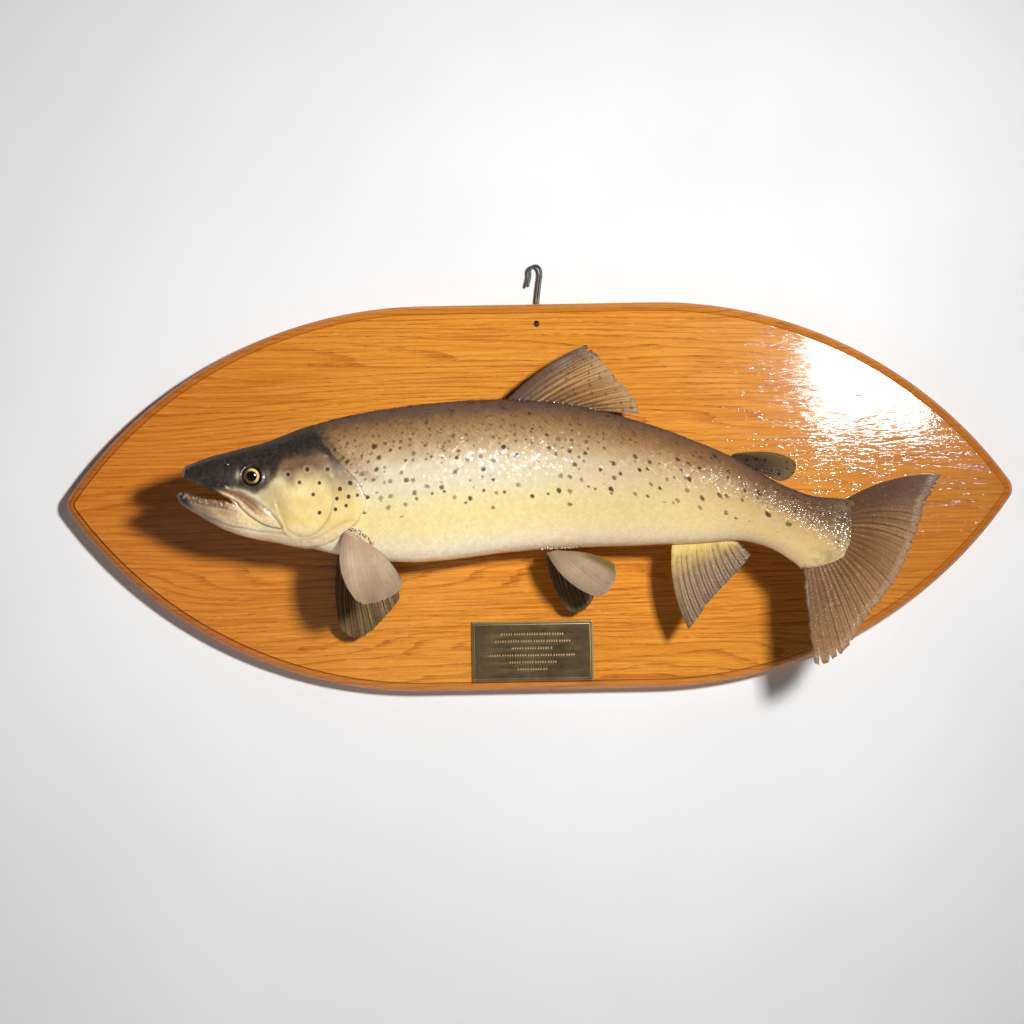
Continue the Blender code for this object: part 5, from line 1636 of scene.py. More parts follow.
@dataclass(frozen=True)
class FishSkin:
    """One closed skin for head, jaws, trunk and tail stem, with the inside of the mouth."""

    coat_depth: float = 0.75
    front_rows: int = 84
    head_rows: int = 150
    body_rows: int = 130
    pocket_rows: int = 8
    head_end_x: float = -165.0
    upper_columns: tuple[int, int] = (66, 40)
    lower_columns: tuple[int, int] = (52, 32)
    mouth_columns: int = 30
    arch: float = 10.0
    dip: float = 8.0
    pocket_length: float = 15.0
    # The head's relief is worked out in front of this place; behind it the gill's edge is far away
    relief_end_x: float = -120.0
    far_behind: float = 60.0

    def rows(self, tip: float) -> Array:
        """Return the stations of the rows, from a jaw's tip to the tail."""
        front = tip + (FORM.corner_x - tip) * np.linspace(0, 1, self.front_rows + 1) ** 1.5
        head = np.linspace(FORM.corner_x, self.head_end_x, self.head_rows + 1)[1:]
        body = np.linspace(self.head_end_x, FORM.skin_end_x, self.body_rows + 1)[1:]
        return np.concatenate([front, head, body])

    def outside(self, upper: bool) -> bpy.types.Mesh:
        """Lay a grid over the upper or lower half of the fish.

        Args:
            upper: which half.

        Returns:
            The mesh, with the chart's values.
        """
        stations = self.rows(FORM.snout_x if upper else FORM.chin_x)
        left, right = self.upper_columns if upper else self.lower_columns
        charts = {side: SkinChart(stations, upper, side) for side in (1, -1)}
        above = {side: SkinChart(self.rows(FORM.snout_x), True, side) for side in (1, -1)}

        def place(u: Array, v: Array) -> dict[str, Array]:
            """Place the grid's points."""
            row = np.rint(v * (len(stations) - 1)).astype(int)
            column = np.rint(u * (left + right)).astype(int)
            station = stations[row]
            co = np.zeros((len(u), 3))
            girth = np.zeros(len(u))
            height = np.zeros(len(u))
            for side, count in ((1, left), (-1, right)):
                here = column >= right if side == 1 else column < right
                away = np.abs(column[here] - right) / count
                share = away if upper else 1 - away
                angle = charts[side].angle(row[here], share)
                co[here] = section(station[here], angle, side, upper)
                before = 0.0 if upper else above[side].girth[row[here]]
                girth[here] = side * (before + share * charts[side].girth[row[here]])
                height[here] = FORM.share(station[here], angle)[0]
            return {"co": co, "station": station, "girth": girth, "height": height,
                    "mouth": np.zeros(len(u))}

        return grid_mesh(left + right, len(stations) - 1, place)

    def inside(self, roof: bool) -> bpy.types.Mesh:
        """Lay a grid over the mouth's roof or floor, which meet in a pocket behind its corner.

        Args:
            roof: which of the two.

        Returns:
            The mesh, with the chart's values.
        """
        stations = self.rows(FORM.snout_x if roof else FORM.chin_x)[: self.front_rows + 1]
        rows = self.front_rows + self.pocket_rows
        quarter = math.pi / 2

        def place(u: Array, v: Array) -> dict[str, Array]:
            """Place the grid's points."""
            row = np.rint(v * rows).astype(int)
            deep = np.clip((row - self.front_rows) / self.pocket_rows, 0, 1)
            station = stations[np.minimum(row, self.front_rows)]
            left = section(station, quarter, 1, roof)
            right = section(station, quarter, -1, roof)
            middle = 0.5 * (left + right)
            narrow = (1 - 0.75 * deep)[:, None]
            left, right = middle + (left - middle) * narrow, middle + (right - middle) * narrow
            w = 2 * u - 1
            co = mix(left, right, u[:, None])
            co[:, 0] += deep * self.pocket_length
            grow = step_up(station, stations[0], stations[0] + 22) * (1 - deep) * (1 - w * w)
            tongue = 5.0 * hump(w, 0.36) * step_up(station, -336, -326)
            co[:, 2] += grow * (self.arch if roof else tongue - self.dip)
            inner = step_up(1 - np.abs(w), 0.0, 0.12)
            return {"co": co, "station": station, "girth": 60 * (1 - u) - 60 * u,
                    "height": np.full(len(u), 0.7), "mouth": np.maximum(inner, deep > 0)}

        return grid_mesh(self.mouth_columns, rows, place)

    def build(self) -> bpy.types.Object:
        """Build and dress the skin.

        Returns:
            The skin.
        """
        bm = weld([self.outside(True), self.outside(False), self.inside(True), self.inside(False)])
        mesh = bpy.data.meshes.new("fish_skin")
        bm.to_mesh(mesh)
        bm.free()
        points = read_points(mesh)
        flat = np.empty(len(points) * 3)
        mesh.vertex_normals.foreach_get("vector", flat)
        normals = flat.reshape(-1, 3)
        height = get_attribute(mesh, "height")
        station = get_attribute(mesh, "station")
        mouth = get_attribute(mesh, "mouth")
        behind = np.full(len(points), self.far_behind)
        near = points[:, 0] < self.relief_end_x
        behind[near] = HEAD.behind_gill(points[near, 0], points[near, 2])
        rise = -self.coat_depth * step_up(behind, -0.5, 3.0)
        rise[near] += HEAD.relief(points[near])
        rise *= 1 - step_up(mouth, 0.0, 0.6)
        rise *= 1 - step_up(station, FORM.stem_end_x - 4, FORM.skin_end_x)
        mesh.vertices.foreach_set("co", ((points + normals * rise[:, None]) * MM).ravel())
        for name, values in HEAD.stains(points, height).items():
            set_attribute(mesh, name, values)
        spot, ring = HEAD.flecking(points)
        set_attribute(mesh, "fleck", spot)
        set_attribute(mesh, "ring", ring)
        set_attribute(mesh, "along", FORM.along(station))
        set_uv(mesh, "Chart", np.stack([station, get_attribute(mesh, "girth")], -1) * MM + CHART_SHIFT)
        mesh.shade_smooth()
        mesh.update()
        return dress(add_object("fish_skin", mesh), TroutHide("trout_skin", Hide.SKIN), "head_skin",
                     "head", "lower_jaw", "trunk", "tail_stem", "gill_cover_left", "gill_cover_right",
                     "maxilla_left", "maxilla_right")


# ---------------------------------------------------------------- scales
@dataclass(frozen=True)
class ScaleCoat:
    """The scales: thin overlapping plates in rings, which follow the lie of the body to the tail."""

    side: Side
    first_x: float
    last_x: float
    name: str
    around: int = 76
    start_x: float = -222.0
    end_x: float = 271.0
    pitch: SmoothCurve = SmoothCurve([(-222, 2.35), (-120, 2.65), (60, 2.55), (190, 2.0), (271, 1.6)])
    rim_points: int = 10
    # A scale's length and width, as multiples of the distances between scales
    overlap: tuple[float, float] = (3.15, 1.34)
    # How far its crown stands up and its underside hangs down
    crown: tuple[float, float] = (0.29, -0.10)
    # How uneven the scales lie, sideways and lengthwise: the spread and the most
    roll: tuple[float, float] = (0.10, 0.22)
    nod: tuple[float, float] = (0.055, 0.1)
    # Scales start this far behind the gill cover's edge and stop this far off the board
    gill_gap: float = 2.2
    board_gap: float = 1.5
    head_end_x: float = -165.0
    # The unrolled skin's size in the bake map
    bake_girth: float = 360.0
    seed: int = 11

    def rings(self) -> tuple[Array, Array]:
        """Return the stations of the rings and the distances between them."""
        stations = [self.start_x]
        while stations[-1] < self.end_x:
            stations.append(stations[-1] + float(self.pitch(stations[-1])))
        rows = np.array(stations)
        return rows, self.pitch(rows)

    def roots(self) -> dict[str, Array]:
        """Work out where the scales grow.

        Returns:
            One value for each scale: its station, girth and greatest girth, place, directions and size.
        """
        rows, pitch = self.rings()
        rng = np.random.default_rng(self.seed)
        angles = np.linspace(0, math.pi, 241)
        sign = self.side.value
        found: dict[str, list[Array]] = {}
        for number, (station, step) in enumerate(zip(rows, pitch)):
            section_points = FORM.flesh(station, angles, sign)
            lengths = np.linalg.norm(np.diff(section_points, axis=0), axis=1)
            travelled = np.concatenate([[0.0], np.cumsum(lengths)])
            half = self.around // 2
            share = (np.arange(half) + 0.25 + 0.5 * (number % 2)) / half
            share = np.clip(share + rng.uniform(-0.09, 0.09, half) / half, 0.0, 1.0)
            girth = share * travelled[-1]
            angle = np.interp(girth, travelled, angles)
            along = station + rng.uniform(-0.12, 0.12, half) * step
            keep = (along >= self.first_x) & (along < self.last_x)
            row = {"station": along, "angle": angle, "girth": girth, "share": share,
                   "whole": np.full(half, travelled[-1]), "step": np.full(half, step),
                   "tone": rng.uniform(0, 1, half), "swing": rng.normal(0, 0.05, half),
                   "roll": rng.normal(0, self.roll[0], half), "nod": rng.normal(0, self.nod[0], half)}
            for key, values in row.items():
                found.setdefault(key, []).append(values[keep])
        roots = {key: np.concatenate(values) for key, values in found.items()}
        return self.settle(roots)

    def settle(self, roots: dict[str, Array]) -> dict[str, Array]:
        """Add places and directions to the scales' roots, and drop those in front of the gill's edge."""
        sign = self.side.value
        station, angle = roots["station"], roots["angle"]
        here = FORM.flesh(station, angle, sign)
        keep = HEAD.behind_gill(here[:, 0], here[:, 2]) > self.gill_gap
        keep |= here[:, 0] > self.head_end_x
        keep &= here[:, 1] < FORM.board_y(self.board_gap)
        roots = {key: values[keep] for key, values in roots.items()}
        station, angle, here = roots["station"], roots["angle"], here[keep]
        rear = unit(FORM.flesh(station + 1, angle, sign) - FORM.flesh(station - 1, angle, sign))
        low, high = np.maximum(angle - 0.02, 0), np.minimum(angle + 0.02, math.pi)
        down = unit(FORM.flesh(station, high, sign) - FORM.flesh(station, low, sign))
        out = unit(np.cross(rear, down)) * -sign
        rear = unit(rear + roots["swing"][:, None] * down)
        return {**roots, "here": here, "rear": rear, "across": np.cross(out, rear), "out": out}

    def build(self) -> bpy.types.Object:
        """Build and dress this length of the coat.

        Returns:
            The coat piece.
        """
        roots = self.roots()
        count, ring = len(roots["station"]), self.rim_points
        phase = np.arange(ring) / ring * 2 * math.pi
        u = np.concatenate([np.cos(phase) * np.where(np.cos(phase) > 0, 1.0, 0.85), [0.12, 0.12]])
        v = np.concatenate([np.sin(phase) * (1 - 0.12 * np.cos(phase)), [0.0, 0.0]])
        lift = np.concatenate([np.zeros(ring), self.crown])
        length = roots["step"] * self.overlap[0]
        ridge = np.clip(np.minimum(roots["share"], 1 - roots["share"]) * self.around / 2, 0, 1)
        width = roots["whole"] / (self.around / 2) * self.overlap[1] * mix(0.8, 1.0, ridge)
        fade = step_up(roots["station"], self.end_x - 30, self.end_x)
        stem = step_up(roots["station"], -60.0, 40.0) * (1 - step_up(roots["share"], 0.42, 0.6))
        dome = (1 - 0.4 * fade) * mix(1.0, 2.1, stem)
        tilt = -1.02 + (u[None] + 1) / 2 * (0.62 - 0.2 * fade[:, None]) + lift[None] * dome[:, None]
        tilt = tilt + fade[:, None] * 0.35 - 0.2 * (1 - ridge[:, None])
        loose = mix(1.0, 0.3, step_up(roots["share"], 0.42, 0.60))
        roll = np.clip(roots["roll"], -self.roll[1], self.roll[1]) * loose
        nod = np.clip(roots["nod"], -self.nod[1], self.nod[1]) * loose * mix(1.0, 1.6, stem)
        tilt = tilt + 0.5 * (roll * width)[:, None] * v[None] + 0.5 * (nod * length)[:, None] * u[None]
        points = (roots["here"][:, None]
                  + roots["rear"][:, None] * (0.5 * u[None, :, None] * length[:, None, None])
                  + roots["across"][:, None] * (0.5 * v[None, :, None] * width[:, None, None])
                  + roots["out"][:, None] * tilt[..., None])
        turn = np.arange(ring)
        after = (turn + 1) % ring
        top = np.stack([turn, after, np.full(ring, ring)], -1)
        bottom = np.stack([after, turn, np.full(ring, ring + 1)], -1)
        faces = np.concatenate([top, bottom])[None] + (np.arange(count) * (ring + 2))[:, None, None]
        mesh = self.mesh_from(points.reshape(-1, 3), faces.reshape(-1, 3))

        def per_point(values: Array) -> Array:
            """Give each of a scale's points its value."""
            return np.repeat(values, ring + 2)

        height = FORM.share(roots["station"], roots["angle"])[0]
        stains = HEAD.stains(roots["here"], height)
        for key in ("cap", "dusk", "bronze", "pale"):
            set_attribute(mesh, key, per_point(stains[key]))
        for key in ("cheek", "jaw", "crease"):
            set_attribute(mesh, key, per_point(np.zeros(count)))
        set_attribute(mesh, "spots", per_point(np.ones(count)))
        sign = self.side.value
        local_height = height[:, None] - sign * 0.5 * v[None] * (width / roots["whole"])[:, None]
        set_attribute(mesh, "height", np.clip(local_height, 0, 1).ravel())
        set_attribute(mesh, "along", per_point(FORM.along(roots["station"])))
        set_attribute(mesh, "tone", per_point(roots["tone"]))
        rim = np.concatenate([step_up(np.cos(phase), -0.2, 0.6), [0.0, 0.0]])
        set_attribute(mesh, "rim", np.tile(rim, count))
        chart_u = roots["station"][:, None] + 0.5 * u[None] * length[:, None]
        chart_v = sign * roots["girth"][:, None] - 0.5 * v[None] * width[:, None]
        set_uv(mesh, "Chart", np.stack([chart_u.ravel(), chart_v.ravel()], -1) * MM + CHART_SHIFT)
        bake_u = 0.02 + 0.96 * FORM.along(roots["station"])[:, None] + 0.0013 * u[None]
        bake_v = 0.5 + sign * (roots["girth"] / self.bake_girth)[:, None] + 0.0014 * v[None]
        set_uv(mesh, "OFBake", np.stack([bake_u.ravel(), bake_v.ravel()], -1))
        return dress(add_object(self.name, mesh), TroutHide("trout_scales", Hide.SCALES), "scaled_skin")

    def mesh_from(self, points: Array, faces: Array) -> bpy.types.Mesh:
        """Make one mesh of all the scales.

        Args:
            points: the scales' points in millimetres.
            faces: triangles of point numbers.

        Returns:
            The mesh in metres, with each scale's rim sharp.
        """
        mesh = bpy.data.meshes.new(self.name)
        mesh.vertices.add(len(points))
        mesh.vertices.foreach_set("co", (points * MM).ravel())
        mesh.loops.add(faces.size)
        mesh.loops.foreach_set("vertex_index", faces.ravel().astype(np.int32))
        mesh.polygons.add(len(faces))
        mesh.polygons.foreach_set("loop_start", np.arange(len(faces), dtype=np.int32) * 3)
        mesh.update(calc_edges=True)
        mesh.shade_smooth()
        mesh.set_sharp_from_angle(angle=math.radians(50))
        return mesh


# ---------------------------------------------------------------- eyes and teeth
@dataclass(frozen=True)
class GlassEye:
    """A domed glass eye in its socket."""

    side: Side
    node: str
    radius: float = 9.0
    lean: float = 7.0
    profile: tuple[tuple[float, float], ...] = (
        (0.0, 2.7), (1.2, 2.66), (2.4, 2.52), (3.6, 2.27), (4.8, 1.88), (5.9, 1.38), (6.9, 0.78),
        (7.7, 0.1), (8.35, -0.7), (8.8, -1.6), (8.95, -2.4), (8.6, -3.2), (5.0, -3.6), (0.0, -3.7))

    def build(self) -> bpy.types.Object:
        """Build and dress the eye.

        Returns:
            The eye.
        """
        bm = bmesh.new()
        radius = bm.verts.layers.float.new("radius")
        verts = [bm.verts.new((r, -y, 0)) for r, y in self.profile]
        edges = [bm.edges.new(pair) for pair in zip(verts, verts[1:])]
        bmesh.ops.spin(bm, geom=verts + edges, cent=(0, 0, 0), axis=(0, 1, 0), angle=2 * math.pi, steps=48,
                       use_merge=True)
        bmesh.ops.remove_doubles(bm, verts=bm.verts, dist=0.002)
        glow = bm.verts.layers.float.new("glow")
        for vert in bm.verts:
            vert[radius] = 1.2 if vert.co.y > 2.5 else math.hypot(vert.co.x, vert.co.z) / self.radius
            # glow: painted light, highest on the side of the iris towards the lamp at the upper right
            toward = (0.85 * self.side.value * vert.co.x + 0.40 * vert.co.z) / self.radius
            vert[glow] = min(max(0.5 + 1.1 * toward, 0.0), 1.0)
        x, z = HEAD.eye
        y = float(FORM.flank_y(np.array(x), np.array(z), self.side))
        lean = Matrix.Rotation(math.radians(self.lean * self.side.value), 4, "Z")
        turn = Matrix.Identity(4) if self.side is Side.LEFT else Matrix.Rotation(math.pi, 4, "Z")
        bmesh.ops.transform(bm, matrix=Matrix.Translation((x, y, z)) @ lean @ turn, verts=bm.verts)
        bmesh.ops.recalc_face_normals(bm, faces=bm.faces)
        return dress(finish_mesh(f"glass_{self.node}", bm, 60), GlassIris(), "eye_glass", self.node)


@dataclass(frozen=True)
class JawTeeth:
    """The small hooked teeth along both jaws."""

    lower_count: int = 23
    upper_count: int = 21
    lower_size: tuple[float, float] = (0.55, 2.6)
    upper_size: tuple[float, float] = (0.5, 2.0)
    # How far behind the upper and lower tips the rows start, and before the mouth's corner they end
    starts: tuple[float, float] = (2.5, 2.0)
    end_gap: float = 6.0
    # How far a tooth stands in from the lip, sinks into it and leans back at its point
    inset: float = 1.1
    sink: float = 0.4
    hook: float = 0.25

    def row(self, bm: bmesh.types.BMesh, upper: bool, side: int) -> None:
        """Set one row of teeth.

        Args:
            bm: the mesh that the teeth go in.
            upper: whether they hang from the upper jaw.
            side: 1 for the left, -1 for the right.
        """
        count = self.upper_count if upper else self.lower_count
        radius, height = self.upper_size if upper else self.lower_size
        start = FORM.snout_x + self.starts[0] if upper else FORM.chin_x + self.starts[1]
        rng = np.random.default_rng(3 + upper + 2 * (side > 0))
        for i in range(count):
            station = mix(start, FORM.corner_x - self.end_gap, (i + rng.uniform(-0.25, 0.25)) / count)
            edge = section(np.array(station), np.array(math.pi / 2), np.array(side), upper)
            middle = FORM.board_y(float(FORM.off_board(station)))
            edge = Vector(edge) + Vector((0, math.copysign(self.inset, middle - edge[1]), 0))
            tall = height * rng.uniform(0.6, 1.1)
            way = -1 if upper else 1
            tip = Matrix.Rotation(math.radians(rng.uniform(-6, 22)), 4, "Y")
            tip = tip @ Matrix.Rotation(math.radians(-9 * side * way), 4, "X")
            if upper:
                tip = Matrix.Rotation(math.pi, 4, "X") @ tip
            base = Matrix.Translation(edge + Vector((0, 0, -self.sink * way)))
            made = bmesh.ops.create_cone(bm, cap_ends=True, segments=7, radius1=radius * tall / height,
                                         radius2=0.07, depth=tall,
                                         matrix=base @ tip @ Matrix.Translation((0, 0, tall / 2)))
            points = made["verts"]
            bmesh.ops.translate(bm, vec=(self.hook, 0, 0), verts=points[len(points) // 2:])

    def build(self) -> bpy.types.Object:
        """Build and dress the teeth.

        Returns:
            The teeth.
        """
        bm = bmesh.new()
        for upper in (True, False):
            for side in (1, -1):
                self.row(bm, upper, side)
        return dress(finish_mesh("jaw_teeth", bm, 60), ToothBone(), "head_skin")


@dataclass(frozen=True)
class CloudedResinAndGlints(Finish):
    """Old casting resin: milky, glossy and stained brown in places, also used for pale beads that stand in
    for highlights.
    """

    name: str = "clouded_resin_and_glints"

    def paint(self, bench: NodeBench, shader: bpy.types.Node) -> None:
        """Lay out the finish's nodes round its shader."""
        cloud = bench.noise(bench.place(), 3.0, 3, 0.6)
        colour = bench.ramp(cloud, [(0.34, (120, 88, 58)), (0.48, (206, 182, 150)), (0.64, (232, 220, 198))])
        set_shader(bench, shader, Base_Color=colour, Roughness=bench.fade(cloud, 0.3, 0.7, 0.12, 0.28),
                   Coat_Weight=0.5, Coat_Roughness=0.08, Normal=bench.bump(cloud, 0.25, 0.8))


@dataclass(frozen=True)
class ResinBeadsAndGlints:
    """The beads of old resin on the left side: at fin roots, gill cover, mouth's corner and snout; the
    snout's pale beads stand in for highlights.

    Each run is a line of (X, Z) places with the beads' number and mean radius.
    """

    name: str = "resin_beads_and_glints"
    runs: tuple[tuple[tuple[tuple[float, float], ...], int, float], ...] = (
        (((-192, -26.5), (-184, -27.5), (-175, -31), (-167, -37), (-161, -44)), 34, 1.25),
        (((-186, -31), (-176, -36), (-168, -42)), 16, 1.0),
        (((-171, 13), (-168.5, 5), (-170, -4)), 9, 0.8),
        (((-201, 24.5), (-199, 21)), 5, 0.8),
        (((2, -51.5), (12, -51), (24, -51.5), (34, -52.5)), 20, 0.85),
        # The beads on the snout and lip: pale beads put where highlights fall, as painted highlights
        (((-309, 18.6), (-299.5, 14.0)), 10, 0.85),
        (((-329, 26.4), (-320, 25.8)), 6, 0.85),
        (((-329, 19.8), (-326, 18.8)), 2, 0.7),
        (((-316, 29.5), (-312, 29.0)), 3, 0.8),
        (((-24, 99.5), (4, 99.0), (32, 95.5), (56, 89.5)), 17, 0.6))
    depth: float = 0.88
    proud: float = 0.35
    seed: int = 21

    def build(self) -> bpy.types.Object:
        """Build and dress the beads.

        Returns:
            The beads as one piece.
        """
        bm = bmesh.new()
        rng = np.random.default_rng(self.seed)
        for line, count, size in self.runs:
            path = SpacePath([(x, 0.0, z) for x, z in line])
            for t in np.clip(np.linspace(0, 1, count) + rng.normal(0, 0.03, count), 0, 1):
                place = path.at(np.array([t]))[0] + rng.normal(0, 0.8, 3)
                low, high = float(FORM.belly(place[0])) + 0.8, float(FORM.back(place[0])) - 0.8
                if place[0] > FORM.corner_x:
                    place[2] = min(max(place[2], low), high)
                place[1] = float(FORM.flank_y(place[0], place[2], Side.LEFT)) - self.proud
                radius = size * rng.uniform(0.55, 1.35)
                turn = Matrix.Rotation(rng.uniform(0, math.pi), 4, "Y")
                shape = Matrix.Diagonal((rng.uniform(0.8, 1.7), self.depth, rng.uniform(0.6, 1.0), 1.0))
                made = bmesh.ops.create_icosphere(bm, subdivisions=2, radius=radius,
                                                  matrix=Matrix.Translation(place) @ turn @ shape)
                for vert in made["verts"]:
                    vert.co += Vector(rng.normal(0, 0.05 * radius, 3))
        return dress(finish_mesh(self.name, bm, 80), CloudedResinAndGlints(), "head_skin")


# ---------------------------------------------------------------- fins
@dataclass(frozen=True)
class RayFin:
    """A fin of rays that branch towards its rim, joined by a thin membrane.

    Root and rim are (X, distance off the board, Z), from the leading ray to the trailing one.
    """

    name: str
    node: str
    root: tuple[Place, ...]
    rim: tuple[Place, ...]
    finish: FinMembrane
    rays: int = 14
    bow: float = 0.0
    edge_bow: tuple[float, float] = (0.0, 0.0)
    sink: float = 3.5
    thickness: float = 0.9
    rim_thickness: float = 0.3
    ridge: float = 0.6
    scallop: float = 0.018
    nicks: tuple[Place, ...] = ()
    ripple: float = 0.5
    plump: float = 0.0
    smooth_lead: float = 0.0
    fray: float = 0.0
    cells_per_ray: int = 10
    rows: int = 46
    seed: int = 1

    def rays_at(self, t: Array, r: Array) -> Array:
        """Return how high the rays stand, 0 on the membrane and 1 on a ray's crest."""
        if self.rays == 0:
            return np.zeros(t.shape)
        beat = t * self.rays
        beside = beat - np.floor(beat) - 0.5
        wide = 0.23 * step_up(r, 0.30, 0.70)
        fine = 0.11 * step_up(r, 0.62, 0.98)
        breadth = mix(0.20, 0.085, np.clip(r, 0, 1))
        crest = np.zeros(t.shape)
        for a in (-1, 1):
            for b in (-1, 1):
                crest = np.maximum(crest, hump((beside - a * wide - b * fine) / breadth, 1.0))
        return crest * self.uneven(t, r, 0.35) * step_up(t, 0.4 * self.smooth_lead, self.smooth_lead + 0.01)

    def uneven(self, t: Array, r: Array, least: float) -> Array:
        """Return a share from least to 1 that makes some rays fainter than others."""
        places = np.stack([t * max(self.rays, 1) * 2.2, r * 1.5, t * 0], -1)
        return mix(least, 1.0, step_up(drift(places, 1.0, self.seed + 7), -0.5, 0.5))

    def grooves_at(self, t: Array, r: Array) -> Array:
        """Return where the membrane folds in between two rays, which the paint darkens as painted shade."""
        beat = t * self.rays
        fold = hump((beat - np.rint(beat)) / 0.085, 1.0) * step_up(r, 0.03, 0.2) * min(self.rays, 1)
        return fold * self.uneven(t, r, 0.1) * step_up(t, 0.4 * self.smooth_lead, self.smooth_lead + 0.01)

    def cut(self, t: Array) -> Array:
        """Return how much shorter the fin is along its rim than its outline."""
        flat = np.stack([t * 40, t * 0 + self.seed], -1)
        short = 0.6 * self.scallop * (1 - self.rays_at(t, np.full(t.shape, 0.97)))
        short += 0.6 * self.scallop * (drift(flat, 1.0, self.seed) + 0.6)
        short += 1.3 * self.scallop * np.maximum(drift(flat, 0.3, self.seed + 1), 0.0)
        for place, breadth, depth in self.nicks:
            short += depth * np.clip(1 - np.abs(t - place) / breadth, 0, 1) ** 1.4
        return np.maximum(short, 0.0)

    def middle(self, t: Array, r: Array) -> Array:
        """Return points of the fin's middle surface.

        Args:
            t: share of the way from the leading to the trailing ray.
            r: share of the way from root to rim.

        Returns:
            Points, with X, Y and Z on the last axis.
        """
        ragged = drift(np.stack([r * 22, r * 0 + self.seed], -1), 1.0, self.seed + 3)
        t = np.clip(t - self.fray * step_up(t, 0.93, 1.0) * (0.8 + ragged), 0.0, 1.0)
        start, end = self.paths[0].at(t), self.paths[1].at(t)
        away = unit(end - start)
        start = start - away * (self.sink * (1 - 0.85 * np.abs(2 * t - 1) ** 2))[:, None]
        r = r * (1 - self.cut(t))
        arch = (4 * r * (1 - r))[:, None]
        outward = unit(np.cross(start - end, np.array([0.0, 1.0, 0.0])))
        bend = mix(self.edge_bow[0], self.edge_bow[1], t)[:, None]
        point = mix(start, end, r[:, None]) + outward * bend * arch
        wave = self.ripple * r * (0.9 * np.sin(t * 9.0 + 2.0 * r + self.seed) + drift(
            np.stack([t * 6, r * 3], -1), 1.0, self.seed))
        point[:, 1] -= self.bow * arch[:, 0] + wave
        return point

    @property
    def paths(self) -> tuple[SpacePath, SpacePath]:
        """Return the root and the rim as smooth paths."""
        return tuple(SpacePath([(x, FORM.board_y(off), z) for x, off, z in line])
                     for line in (self.root, self.rim))

    def face(self, way: int) -> bpy.types.Mesh:
        """Lay a grid over one face of the fin.

        Args:
            way: 1 or -1, the face.

        Returns:
            The mesh.
        """
        columns = max(self.rays, 4) * self.cells_per_ray

        def place(t: Array, r: Array) -> dict[str, Array]:
            """Place the grid's points."""
            co = self.middle(t, r)
            along_t = self.middle(np.minimum(t + 0.004, 1), r) - self.middle(np.maximum(t - 0.004, 0), r)
            along_r = self.middle(t, np.minimum(r + 0.01, 1)) - self.middle(t, np.maximum(r - 0.01, 0))
            normal = unit(np.cross(along_r, along_t))
            crest = self.rays_at(t, r)
            half = 0.5 * mix(self.thickness, self.rim_thickness, r)
            half += 0.5 * self.ridge * crest * mix(1.0, 0.35, r)
            from_side = np.abs(2 * t - 1)
            lobe = np.sqrt(np.clip(1 - from_side ** 4, 0, 1)) * np.sqrt(np.clip(1 - r, 0, 1))
            half += 0.5 * self.plump * lobe
            edge = np.maximum(from_side - 0.93, 0) / 0.07
            half *= mix(0.12, 1.0, np.sqrt(np.clip(1 - edge ** 2, 0, 1)))
            closed = (t > 1e-4) & (t < 1 - 1e-4) & (r > 1e-4) & (r < 1 - 1e-4)
            return {"co": co + normal * (way * half * closed)[:, None], "ray": crest, "reach": r,
                    "span": t, "groove": self.grooves_at(t, r)}

        return grid_mesh(columns, self.rows, place)

    def build(self) -> bpy.types.Object:
        """Build and dress the fin.

        Returns:
            The fin.
        """
        bm = weld([self.face(1), self.face(-1)], 0.002)
        obj = finish_mesh(self.name, bm, 70)
        points = read_points(obj.data)
        set_uv(obj.data, "Chart", points[:, [0, 2]] + CHART_SHIFT)
        return dress(obj, self.finish, "fin", self.node)


def ridge_line(stations: Sequence[float], lift: float, over: bool) -> tuple[Place, ...]:
    """Return fin root places on the back or the belly.

    Args:
        stations: places along the body.
        lift: distance out from the flesh.
        over: whether they are on the back.

    Returns:
        (X, distance off the board, Z) places.
    """
    line = FORM.back if over else FORM.belly
    way = 1 if over else -1
    return tuple((x, float(FORM.off_board(x)), float(line(x)) + way * lift) for x in stations)


def stem_line(count: int = 13) -> tuple[Place, ...]:
    """Return the places where the tail fin's rays leave the stem, from top to bottom."""
    height = np.linspace(0.02, 0.98, count)
    place = FORM.flesh(np.full(count, 268.0), np.arccos(1 - 2 * height), np.zeros(count))
    return tuple((float(p[0]), float(FORM.off_board(268.0)), float(p[2])) for p in place)


